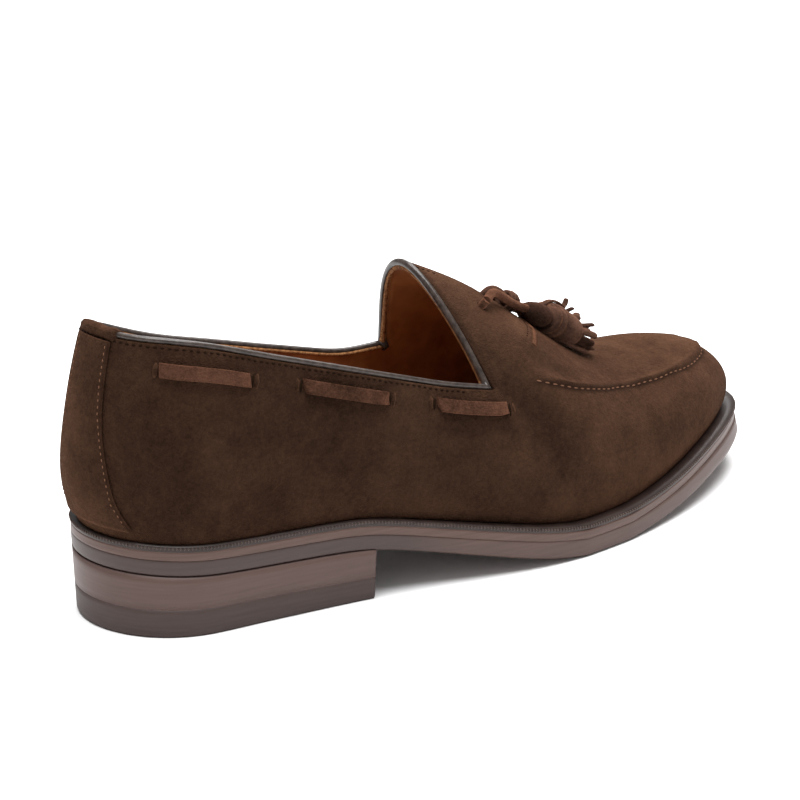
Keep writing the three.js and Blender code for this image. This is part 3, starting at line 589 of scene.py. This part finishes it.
def stitch_row(name, marks, size, material):
    """One mesh of beads; size is a bead's length, width and thickness in mm."""
    length, width, thick = (extent * MM for extent in size)
    bm = bmesh.new()
    for place, along, normal in marks:
        across = normal.cross(along).normalized()
        along = across.cross(normal)
        basis = Matrix((along, across, normal)).transposed().to_4x4()
        shape = Matrix.Translation(place) @ basis @ Matrix.Diagonal((length, width, thick, 1))
        bmesh.ops.create_icosphere(bm, subdivisions=1, radius=0.5, matrix=shape)
    for face in bm.faces:
        face.smooth = True
    mesh = bpy.data.meshes.new(name)
    bm.to_mesh(mesh)
    bm.free()
    mesh.materials.append(material)
    new_piece(name, mesh)
    print(name, len(marks))


# %% [markdown]
# The apron's seam runs from beside the throat round the toe. Its height falls quickly over the
# ball and is nearly level round the toe, as in the table of the solid.

# %% Line of the apron seam
SEAM = [
    (20, 66.9), (38.6, 60.3), (59.4, 54.2), (75.1, 50.9), (92.4, 49.3), (105.7, 49.0), (140, 46.8),
]
SEAM_START = 21
TOE_CENTRE = Vector((98, 3))
TOE_RADIUS = 38
UNDER_RIDGE = 0.6


def apron_hits(side):
    hits = []
    for x in range(SEAM_START, 99):
        height = (between(SEAM, x) - UNDER_RIDGE) * MM
        hits.append(facing(upper_tree, (x * MM, side * RAY_START, height), (0, -side, 0)))
    for k in range(1, 31):
        turn = math.radians(90 - 3 * k)
        out = Vector((math.cos(turn), side * math.sin(turn)))
        height = (between(SEAM, TOE_CENTRE.x + TOE_RADIUS * math.cos(turn)) - UNDER_RIDGE) * MM
        start = (TOE_CENTRE + out * 200) * MM
        hits.append(facing(upper_tree, (start.x, start.y, height), (-out.x, -out.y, 0)))
    return [hit for hit in hits if hit]


print("seam rows", len(SEAM))

# %% [markdown]
# Suede folds softly where the foot bends it and puffs up beside whatever is sewn or pulled tight.
# Each fold below is listed: a line of marks, a half-width, a depth, where a negative depth
# is a ridge, and a share of painted shade. Side folds are drawn seen from the side, top folds from
# above.

# %% Soft folds
SIDE_FOLDS = [
    ([(0, 66), (3.8, 61.3), (6.3, 55.5), (6.9, 48.6)], 2.0, -0.55, 0),
    ([(4.5, 66), (9, 59), (11, 51), (11.5, 42)], 3.0, 0.55, 0.25),
    ([(12, 60), (17.7, 50), (21.2, 35.4)], 4.5, 0.5, 0.15),
    ([(24, 60), (29, 50), (32, 38)], 5.0, -0.45, 0),
    ([(-27.2, 69.4), (-12.2, 65.7), (1.5, 62.6)], 1.5, -0.45, 0),
    ([(-27.2, 66.4), (-12.2, 62.8), (2.5, 59.6)], 0.9, 0.4, 0.7),
    ([(-29, 58.4), (-14.6, 56.0), (3, 53.2)], 1.4, 0.35, 0.35),
    ([(-138, 60), (-120, 50), (-95, 46)], 7.0, 0.5, 0.1),
    ([(-75, 60), (-50, 45), (-30, 40)], 8.0, 0.45, 0.1),
    ([(50, 40), (75, 34), (100, 31)], 6.0, 0.4, 0.1),
]
TOP_FOLDS = [
    ([(23.5, -26.8), (28.1, -29.2), (36.3, -30.8)], 3.4, 0.7, 0.3),
    ([(35.0, -24.6), (50.4, -18.9), (70.9, -8.5)], 5.0, 0.6, 0.1),
    ([(44, 22), (56, 16), (74, 6)], 5.0, 0.5, 0.1),
    ([(52, -24), (64, -14), (86, 0)], 4.5, -0.4, 0),
    ([(20, -22), (26, -23), (32, -15)], 2.2, -0.4, 0),
]


MARK_SPACING = 0.5 * MM
SIDE_STEEPNESS = 0.35
SIDE_LOWEST = 20 * MM
TOP_FLATNESS = 0.25
FADED_OUT = 3


def fold_line(marks):
    """Close marks along a line, for finding the nearest."""
    tree_points = []
    for a, b in zip(marks, marks[1:]):
        a, b = Vector(a), Vector(b)
        count = max(2, int((b - a).length / MARK_SPACING))
        tree_points += [a.lerp(b, k / count) for k in range(count + 1)]
    tree = KDTree(len(tree_points))
    for index, point in enumerate(tree_points):
        tree.insert(point, index)
    tree.balance()
    return tree


folds = []
for marks, half_width, depth, shade in SIDE_FOLDS:
    line = fold_line([(x * MM, 0, z * MM) for x, z in marks])
    folds.append((line, "side", half_width * MM, depth * MM, shade))
for marks, half_width, depth, shade in TOP_FOLDS:
    line = fold_line([(x * MM, y * MM, 0) for x, y in marks])
    folds.append((line, "top", half_width * MM, depth * MM, shade))
for _, side in SIDES:
    seam = [place for place, _ in apron_hits(side)]
    crest = [place + UPWARD * 3.2 * MM for place in seam]
    folds.append((fold_line(seam), "seam", 1.3 * MM, 0.45 * MM, 0.85))
    folds.append((fold_line(crest), "seam", 2.2 * MM, -0.45 * MM, 0))

# The shade attribute is painted shade: each fold's share darkens the suede along its trough, and
# the apron seam's groove is darkened most.
painted_shading = skin.attributes.new("shade", "FLOAT", "POINT")
lined = {
    index for face in skin.polygons if face.material_index == 1 for index in face.vertices}
moves = []
for vertex in skin.vertices:
    if vertex.index in lined:
        continue
    shift = 0.0
    dark = 0.0
    for tree, kind, half_width, depth, shade in folds:
        steep = abs(vertex.normal.y)
        if kind == "side" and (steep < SIDE_STEEPNESS or vertex.co.z < SIDE_LOWEST):
            continue
        if kind == "top" and vertex.normal.z < TOP_FLATNESS:
            continue
        place = vertex.co.copy()
        if kind == "side":
            place.y = 0
        elif kind == "top":
            place.z = 0
        away = tree.find(place)[2] / half_width
        if away < FADED_OUT:
            fall = math.exp(-away * away)
            shift += depth * fall
            dark += shade * fall
    moves.append((vertex, vertex.normal.copy(), shift))
    painted_shading.data[vertex.index].value = min(1.0, dark)
for vertex, normal, shift in moves:
    vertex.co -= normal * shift
skin.update()
bpy.context.view_layer.update()
upper_tree = BVHTree.FromObject(upper, bpy.context.evaluated_depsgraph_get())
print("folds", len(folds))

# %% [markdown]
# Long tan stitches sew the apron along the foot of its ridge, one row from each side to the toe.

# %% Apron stitches
for label, side in SIDES:
    marks = spaced(apron_hits(side), 3.7 * MM)
    stitch_row("apron_stitches_" + label, marks, (2.5, 0.62, 0.6), tan_thread)

# %% [markdown]
# Under the piping runs a row of dark stitches. Their line is found by lowering a ray until it first
# meets the upper, which is the collar's edge, and going down a little from there.

# %% Collar stitches
RAYS_FROM = 110 * MM
RAY_STEP = 0.3 * MM
RAY_STEPS = 170
NEAR_WALL = 0.215
BELOW_RIM = 0.9 * MM
HEEL_CENTRE = (-115 * MM, 1 * MM)


def collar_hit(origin, direction):
    for k in range(RAY_STEPS):
        height = RAYS_FROM - RAY_STEP * k
        hit = facing(upper_tree, (*origin, height), direction)
        if hit and (hit[0] - Vector((*origin, height))).length < NEAR_WALL:
            return facing(upper_tree, (*origin, height - BELOW_RIM), direction)
    return None


def collar_hits(side):
    hits = []
    for k in range(0, 19):
        turn = math.radians(90 - 5 * k)
        out = (-math.sin(turn), side * math.cos(turn))
        start = (HEEL_CENTRE[0] + RAY_START * out[0], HEEL_CENTRE[1] + RAY_START * out[1])
        hits.append(collar_hit(start, (-out[0], -out[1], 0)))
    for k in range(0, 57):
        hits.append(collar_hit(((-114 + 2 * k) * MM, side * RAY_START), (0, -side, 0)))
    return [hit for hit in hits if hit]


for label, side in SIDES:
    marks = spaced(collar_hits(side), 2.5 * MM)
    stitch_row("collar_stitches_" + label, marks, (1.6, 0.8, 0.5), dark_thread)

# %% [markdown]
# Tan stitches hold both edges of the strip up the back seam, a little inside its edge.

# %% Back strip stitches
STRIP = [(40, 20.0), (49, 15.0), (64, 12.2), (80, 9.4), (90, 8.9), (103, 9.0)]
STRIP_CENTRE = Vector((-114.6, 0.9)) * MM
STRIP_RADIUS = 35.5

for label, side in SIDES:
    hits = []
    for height in range(43, 104):
        turn = between(STRIP, height) / STRIP_RADIUS
        out = Vector((-math.cos(turn), side * math.sin(turn)))
        start = STRIP_CENTRE + out * RAY_START
        hits.append(facing(strip_tree, (start.x, start.y, height * MM), (-out.x, -out.y, 0)))
    marks = spaced([hit for hit in hits if hit], 2.3 * MM)
    stitch_row("strip_stitches_" + label, marks, (1.2, 0.5, 0.4), tan_thread)

# %% [markdown]
# Every run of lace ends in a slot: a dark bead across the lace is painted shade in the slit, and
# the suede is puckered beyond it.

# %% Slots
slit_shadow_marks = []
puckers = []
for place, outward in lace_ends:
    spot, normal, _, _ = upper_tree.find_nearest(place)
    slit_shadow_marks.append((spot + outward * 0.1 * MM, outward, normal))
    puckers.append((spot + outward * 1.7 * MM - normal * 0.25 * MM, outward, normal))
# The slit beads take the dark thread's colour as painted shade in each slot.
stitch_row("lace_slit_shadows", slit_shadow_marks, (1.0, 5.6, 0.8), dark_thread)
stitch_row("lace_puckers", puckers, (2.2, 6.2, 1.2), body_suede)

# %% [markdown]
# At the back the strip folds over the piping, as a lumpy tab that holds both sides together. It is
# cut from a copy of the piping's solid and fattened.

# %% Tab over the back seam
TAB_PLANES = (
    ((0, 12.5, 0), (0, 1, 0)), ((0, -8.4, 0), (0, -1, 0)), ((-120, 0, 0), (1, 0, 0)),
)
TAB_SUNK = Vector((0, 0, 0.85 * MM))

mesh = bpy.data.meshes.new("heel_tab")
bm = welded("collar_binding")
for corner, outward in TAB_PLANES:
    bmesh.ops.bisect_plane(
        bm, geom=bm.verts[:] + bm.edges[:] + bm.faces[:],
        plane_co=Vector(corner) * MM, plane_no=outward, clear_outer=True)
bmesh.ops.holes_fill(bm, edges=[e for e in bm.edges if e.is_boundary])
bmesh.ops.subdivide_edges(bm, edges=bm.edges, cuts=1, use_grid_fill=True)
bm.normal_update()
for vertex in bm.verts:
    place = vertex.co
    lump = 0.18 * math.sin(place.y * 1900) + 0.12 * math.sin(place.y * 4100 + place.z * 2500)
    vertex.co += vertex.normal * (1.1 + lump) * MM - TAB_SUNK
for face in bm.faces:
    face.smooth = True
bm.to_mesh(mesh)
bm.free()
mesh.materials.clear()
mesh.materials.append(body_suede)
smoothed(new_piece("heel_tab", mesh), 2)
print("heel tab", len(mesh.polygons))

# %% [markdown]
# Just inside the piping the lining's raw edge stands up, lighter and rougher than the lining.

# %% Raw edge of the lining
raw_edge = leather(
    "raw lining edge", (900, 4, 0.7), (0.11, 0.040, 0.013, 1), (0.38, 0.18, 0.070, 1),
    (1100, 4, 0.7), 1.0, 0.5 * MM, roughness=0.9, specular=0.2)
mesh = binding.data.copy()
mesh.name = "lining_edge"
mesh.materials.clear()
mesh.materials.append(raw_edge)
for vertex in mesh.vertices:
    inward = (hollow_middle(vertex.co.x, vertex.co.z - 8 * MM) - vertex.co).normalized()
    throat = throat_share(vertex.co)
    aside = Vector((0.3 * throat, 0, 0.5 * throat - 0.8)) * MM
    vertex.co += inward * (0.6 + 0.7 * throat) * MM + aside - vertex.normal * 0.3 * MM
smoothed(new_piece("lining_edge", mesh), 1)
print("lining edge", len(mesh.polygons))

# %% [markdown]
# Where the topline turns up into the throat, three turns of the piping's leather bind the corner.

# %% Bindings at the corners
ACROSS = Vector((0, 1, 0))
WRAP_LEAN = Vector((0.8, 0, 0.45)).normalized()
WRAP_RADIUS = 1.75 * MM
WRAP_STRIP = 0.45 * MM
WRAP_PITCH = 0.8


def hoop(centre, first, second):
    """A closed ring of points whose two half-axes are vectors."""
    turns = [math.radians(30 * k) for k in range(13)]
    return [centre + first * math.cos(turn) + second * math.sin(turn) for turn in turns]


for label, side in SIDES:
    corner = max(
        (v.co for v in binding.data.vertices if v.co.y * side > 20 * MM),
        key=lambda co: co.x - co.z)
    centre = corner + Vector((-1.6, -side * 1.1, 1.0)) * MM
    for number in range(3):
        middle = centre + WRAP_LEAN * (number - 1) * WRAP_PITCH * MM
        ring = hoop(middle, ACROSS * WRAP_RADIUS, WRAP_LEAN.cross(ACROSS) * WRAP_RADIUS)
        name = f"corner_wrap_{label}_{number + 1}"
        cord_curve(name, ring, WRAP_STRIP, piping_leather)
print("corner wraps 6")

# %% [markdown]
# A welt's edge is rolled with a hot toothed wheel. The teeth are a ring of small ridges along the
# top outer edge, found as the widest and highest of the welt's sharp loops. Each loop is followed
# from its first edge, so that the teeth fall in the same places every time.

# %% Wheeled edge of the welt
SHARP = math.radians(60)
SHORT_CHAIN = 20
TEETH_DROP = UPWARD * 0.45 * MM

bm = welded("welt")
bm.edges.index_update()
sharp = {e for e in bm.edges if len(e.link_faces) == 2 and e.calc_face_angle() > SHARP}
loops = []
while sharp:
    first = min(sharp, key=lambda edge: edge.index)
    sharp.remove(first)
    chain = [first.verts[0], first.verts[1]]
    while True:
        following = [e for e in chain[-1].link_edges if e in sharp]
        if not following:
            break
        sharp.remove(following[0])
        chain.append(following[0].other_vert(chain[-1]))
    loops.append([v.co.copy() for v in chain])
bm.free()
loops = [loop for loop in loops if len(loop) > SHORT_CHAIN]


def loop_rank(loop):
    span = max(p.x for p in loop) - min(p.x for p in loop)
    return round(span, 4), sum(p.z for p in loop) / len(loop)


edge_hits = [(place, UPWARD) for place in max(loops, key=loop_rank)]
marks = [
    (place - TEETH_DROP, along, UPWARD) for place, along, _ in spaced(edge_hits, 1.35 * MM)]
stitch_row("welt_wheeling", marks, (0.70, 1.0, 1.2), tooth_edge)

# %% [markdown]
# A tassel is a strip of suede, slit into a fringe and rolled up tightly round the lace's end. Every
# part of it is skinned over a row of rings: the lobe at its head, the layers of the roll with
# their raised edges, and each flat, curling strip of the fringe.

# %% Skin over rings
def swept(bm, rings, segments=14):
    loops = []
    for matrix in rings:
        made = bmesh.ops.create_circle(
            bm, cap_ends=False, segments=segments, radius=1, matrix=matrix)
        loops.append(set(made["verts"]))
    edges = [{e for v in loop for e in v.link_edges} for loop in loops]
    for a, b in zip(edges, edges[1:]):
        bmesh.ops.bridge_loops(bm, edges=list(a | b))
    for loop in (edges[0], edges[-1]):
        bmesh.ops.contextual_create(bm, geom=list(loop))


def ring_at(place, width, thick):
    """A ring whose axes are two half-sizes, given as vectors."""
    turned = Matrix((width, thick, width.cross(thick).normalized())).transposed().to_4x4()
    return Matrix.Translation(place) @ turned


def ribbon(bm, marks, width, thick, outward, taper=0.6):
    """A flat strip along marks; outward says which way its flat side faces."""
    line = through(marks, steps=5)
    rings = []
    for k, place in enumerate(line):
        ahead = (line[min(k + 1, len(line) - 1)] - line[max(k - 1, 0)]).normalized()
        across = ahead.cross(outward).normalized()
        facing_out = across.cross(ahead).normalized()
        end = taper if k in (0, len(line) - 1) else 1.0
        wave = 1 + 0.06 * math.sin(k * 1.7 + width * 9000)
        rings.append(ring_at(place, across * width / 2 * end * wave, facing_out * thick / 2 * end))
    swept(bm, rings, segments=10)


print("skins ready")

# %% [markdown]
# Lengths along a tassel are shares of its length from head to tip. A row of the roll holds the
# place along, the half-width and the tilt in degrees; a row of the fringe holds the turn round the
# roll in degrees, the reach and the spread. The longer strips that the photo shows are placed one
# by one, in mm.

# %% Tassels
ROLL = [
    (-0.10, 0.34, 0), (-0.06, 0.54, 0), (0.02, 0.70, 2), (0.10, 0.74, 6), (0.17, 0.66, 10),
    (0.195, 0.58, 12), (0.20, 0.80, 12), (0.245, 0.95, 12), (0.26, 0.96, 11), (0.265, 0.86, 11),
    (0.275, 0.99, 9), (0.33, 1.04, 8), (0.34, 0.95, 7), (0.35, 1.05, 6), (0.43, 1.07, 4),
    (0.52, 1.05, 2), (0.59, 0.98, 0), (0.62, 0.93, 0), (0.625, 0.76, 0),
]
RAW_EDGES = ((0.262, 0.010), (0.337, 0.010), (0.62, 0.008))
LOBE_END = 0.19
FRINGE = [
    (0, 0.84, 0.90), (40, 0.86, 0.92), (82, 0.84, 1.20), (128, 0.95, 1.05), (170, 1.00, 0.95),
    (212, 0.92, 0.80), (250, 0.98, 0.62), (290, 0.92, 0.60), (326, 0.88, 0.78), (64, 0.94, 0.50),
    (150, 0.90, 0.55), (270, 0.90, 0.30),
]
FRINGE_THICK = 1.25 * MM
NEAR_STRIPS = [
    ([(0.5, 14, -2.2), (0.6, 22, -2.4), (0.8, 30, -1.9), (1.0, 37, -1.5)], 4.4, 1.9),
    ([(3.4, 13, -3.6), (3.8, 20, -4.3), (4.0, 26, -4.2), (4.2, 31.5, -3.8)], 4.2, 1.8),
    ([(1.5, 17, 1.2), (1.7, 24, 2.6), (1.8, 29.5, 3.9)], 2.6, 1.2),
    ([(-3, 15, 2.0), (-4, 24, 2.4), (-5, 33, 1.6)], 3.2, 1.4),
]
FAR_STRIPS = [
    ([(0, 16, 1.5), (0, 24, 1.9), (0, 28, 3.4), (0, 30.7, 5.1)], 3.0, 1.3),
    ([(1, 13, 3.4), (1, 18, 4.6), (0.6, 20.6, 6.6), (0.2, 21.8, 9.2)], 2.2, 1.1),
    ([(2, 6, 3.6), (1.6, 8.8, 5.8), (1, 14.5, 6.7), (0.6, 19.4, 5.7), (0.4, 21.6, 3.4)], 2.4, 1.1),
    ([(-3, 14, -1.5), (-4, 22, -1.2), (-5, 29, -2.0)], 3.4, 1.5),
]
HALF_WIDTH = 6.7
FLATNESS = 0.86


def tassel(node, head, tip, up, strips):
    head, tip = Vector(head), Vector(tip)
    length = (tip - head).length
    axis = (tip - head).normalized()
    side = axis.cross(Vector(up)).normalized()
    basis = Matrix((side, axis, side.cross(axis))).transposed().to_4x4()
    bm = bmesh.new()
    rings = []
    for number, (along, half, tilt) in enumerate(ROLL):
        wobble = 1 + 0.025 * math.sin(number * 2.3)
        half_height = half * HALF_WIDTH * FLATNESS
        wide = Vector((half * HALF_WIDTH * wobble, 0, 0)) * MM
        tall = Vector((0, half_height * math.tan(math.radians(tilt)), half_height)) * MM
        rings.append(ring_at(Vector((0, along * length, 0)) * MM, wide, tall))
    swept(bm, rings, segments=28)
    rolled = list(bm.faces)
    for number, (turn, reach, spread) in enumerate(FRINGE):
        angle = math.radians(turn)
        bend = (0.62 + 0.5 * (spread - 0.62), 0.64 + 0.55 * (reach - 0.64))
        stations = ((0.45, 0.46), (0.62, 0.64), bend, (spread, reach))
        marks = [(
            r * HALF_WIDTH * math.cos(angle), a * length, r * HALF_WIDTH * math.sin(angle) * 0.80)
            for r, a in stations]
        outward = Vector((math.cos(angle), 0, math.sin(angle)))
        before = set(bm.faces)
        ribbon(bm, marks, (2.5 + 0.4 * math.sin(number * 1.9)) * MM, FRINGE_THICK, outward)
        # Material 1 is the darker copy: every other fringe strip gets painted shade.
        for face in set(bm.faces) - before:
            face.material_index = 1 - number % 2
    for marks, width, thick in strips:
        ribbon(bm, marks, width * MM, thick * MM, Vector((0.15, 0, 1)))
    # Raw edges get the cut-edge suede; the lobe at the head gets the darker copy, as painted shade.
    for face in rolled:
        along = face.calc_center_median().y / (length * MM)
        if any(abs(along - edge) < reach for edge, reach in RAW_EDGES):
            face.material_index = 2
        elif along < LOBE_END:
            face.material_index = 1
    bmesh.ops.recalc_face_normals(bm, faces=bm.faces)
    bmesh.ops.transform(bm, verts=bm.verts, matrix=Matrix.Translation(head * MM) @ basis)
    for face in bm.faces:
        face.smooth = True
    mesh = bpy.data.meshes.new("fine_" + node)
    bm.to_mesh(mesh)
    bm.free()
    for material in (tassel_suede, tassel_painted_shade, tab_suede):
        mesh.materials.append(material)
    print(node, len(mesh.polygons))
    return new_piece("fine_" + node, mesh, stands_for=node)


tassel_1 = tassel(
    "tassel_1", (39.46, -7.47, 81.89), (70.86, -4.21, 62.98), (0.56, -0.12, 0.82), NEAR_STRIPS)
tassel_2 = tassel(
    "tassel_2", (50.99, 10.57, 75.30), (78.47, 15.87, 63.07), (0.40, 0.20, 0.90), FAR_STRIPS)

# %% [markdown]
# The knot is the lace wrapped round itself. A smooth copy of its solid is the core, and two wraps
# of the tassels' suede go over it.

# %% Knot
KNOT = Vector((32.9, -0.73, 85.51)) * MM
KNOT_STRIP = 1.15 * MM

knot = refined("lace_knot", lace_suede, sharp=80)
for number, lean in ((1, 0.45), (2, -0.55)):
    across = Vector((2.2 * lean, 3.9, -1.4 * lean)) * MM
    ring = hoop(KNOT, across, Vector((1.6, 0, 2.6)) * MM)
    cord_curve(f"knot_wrap_{number}", ring, KNOT_STRIP, tassel_suede)
print("knot wraps 2")

# %% [markdown]
# Behind the ties the bow's loop arches over the ridge of the vamp. Each tie also goes on into the
# wall below its slot, so that no cut end shows.

# %% Bow loop and the laces below their slots
BOW = [
    (15.5, -5.2, 89.4), (18.8, -4.4, 91.7), (23.2, -3.2, 92.4),
    (27.6, -1.8, 90.5), (31.0, -0.9, 87.4), (33.0, -0.7, 85.4),
]
BOW_RADIUS = 1.5 * MM
INTO_WALL = 1.5 * MM

cord_curve("bow_loop", through(BOW), BOW_RADIUS, tassel_suede)
slot_shadow_marks = []
for number, (_, line, _) in enumerate(tie_pieces, 1):
    start = line[0]
    ahead = (line[0] - line[2]).normalized() * 0.3 * MM
    spot, normal, _, _ = upper_tree.find_nearest(start)
    depth = (start - spot).dot(normal) + INTO_WALL
    below = [start, start + ahead - normal * depth * 0.6, start + ahead - normal * depth]
    slot_shadow_marks.append((spot, Vector((1, 0, 0)), normal))
    cord_curve(f"lace_below_{number}", below, TIE_RADIUS * 0.98, lace_suede)
# A flat dark bead where each tie enters the wall is painted shade in its slot.
stitch_row("tie_slot_shadows", slot_shadow_marks, (3.8, 4.6, 0.5), dark_thread)

# %% [markdown]
# The throat has a small tongue-shaped tab, sewn on under the knot. Its cut edge is lighter than
# the suede, with a row of fine holes beside it.

# %% Edge of the throat tab
TAB = [(37.0, -5), (36.2, -10), (33.6, -15.6), (30.2, -20.6), (26.6, -24.4)]
HOLES_INSIDE = (-2.1, -1.6)
STEPS = 6


def from_above(x, y):
    return facing(upper_tree, (x * MM, y * MM, RAY_START), (0, 0, -1))


for label, side in SIDES:
    edge = []
    holes = []
    for (xa, ya), (xb, yb) in zip(TAB, TAB[1:]):
        for k in range(STEPS):
            x, y = xa + (xb - xa) * k / STEPS, ya + (yb - ya) * k / STEPS
            edge.append(from_above(x, -y * side))
            holes.append(from_above(x + HOLES_INSIDE[0], (-y + HOLES_INSIDE[1]) * side))
    edge = spaced([hit for hit in edge if hit], 0.8 * MM)
    holes = spaced([hit for hit in holes if hit], 1.9 * MM)
    stitch_row("tab_edge_" + label, edge, (2.0, 3.0, 0.7), tab_suede)
    stitch_row("tab_holes_" + label, holes, (1.1, 0.6, 0.4), dark_thread)

# %% [markdown]

print("ties are cords")

# %% [markdown]
# A plain pale floor, one broad light above and in front, a weaker one behind, and a bright even
# sky give the soft shadows of a shop photograph.

# %% Floor, lights and sky
FLOOR_HALF = 8
FLOOR_COLOUR = (0.88, 0.88, 0.88, 1)
SKY_STRENGTH = 0.46
AIM = Vector((0, 0, 0.05))

bm = bmesh.new()
bmesh.ops.create_grid(bm, x_segments=1, y_segments=1, size=FLOOR_HALF)
floor_mesh = bpy.data.meshes.new("floor")
bm.to_mesh(floor_mesh)
bm.free()
floor = bpy.data.objects.new("floor", floor_mesh)
bpy.context.scene.collection.objects.link(floor)
floor_finish, _, shader, _ = finish_of("pale floor", 0.9, specular=0.1)
shader.inputs["Base Color"].default_value = FLOOR_COLOUR
floor_mesh.materials.append(floor_finish)


def soft_light(name, place, power, size):
    light = bpy.data.lights.new(name, "AREA")
    light.energy = power
    light.size = size
    lamp = bpy.data.objects.new(name, light)
    lamp.location = place
    lamp.rotation_euler = (AIM - Vector(place)).to_track_quat("-Z", "Y").to_euler()
    bpy.context.scene.collection.objects.link(lamp)


soft_light("key light", (-0.10, -0.15, 2.0), power=92, size=1.7)
soft_light("back light", (0.9, 0.9, 1.3), power=18, size=1.0)
world = bpy.data.worlds.new("sky")
world.use_nodes = True
sky = world.node_tree.nodes["Background"]
sky.inputs["Color"].default_value = (1, 1, 1, 1)
sky.inputs["Strength"].default_value = SKY_STRENGTH
bpy.context.scene.world = world
bpy.context.scene.view_settings.view_transform = "Standard"
print("stage ready")
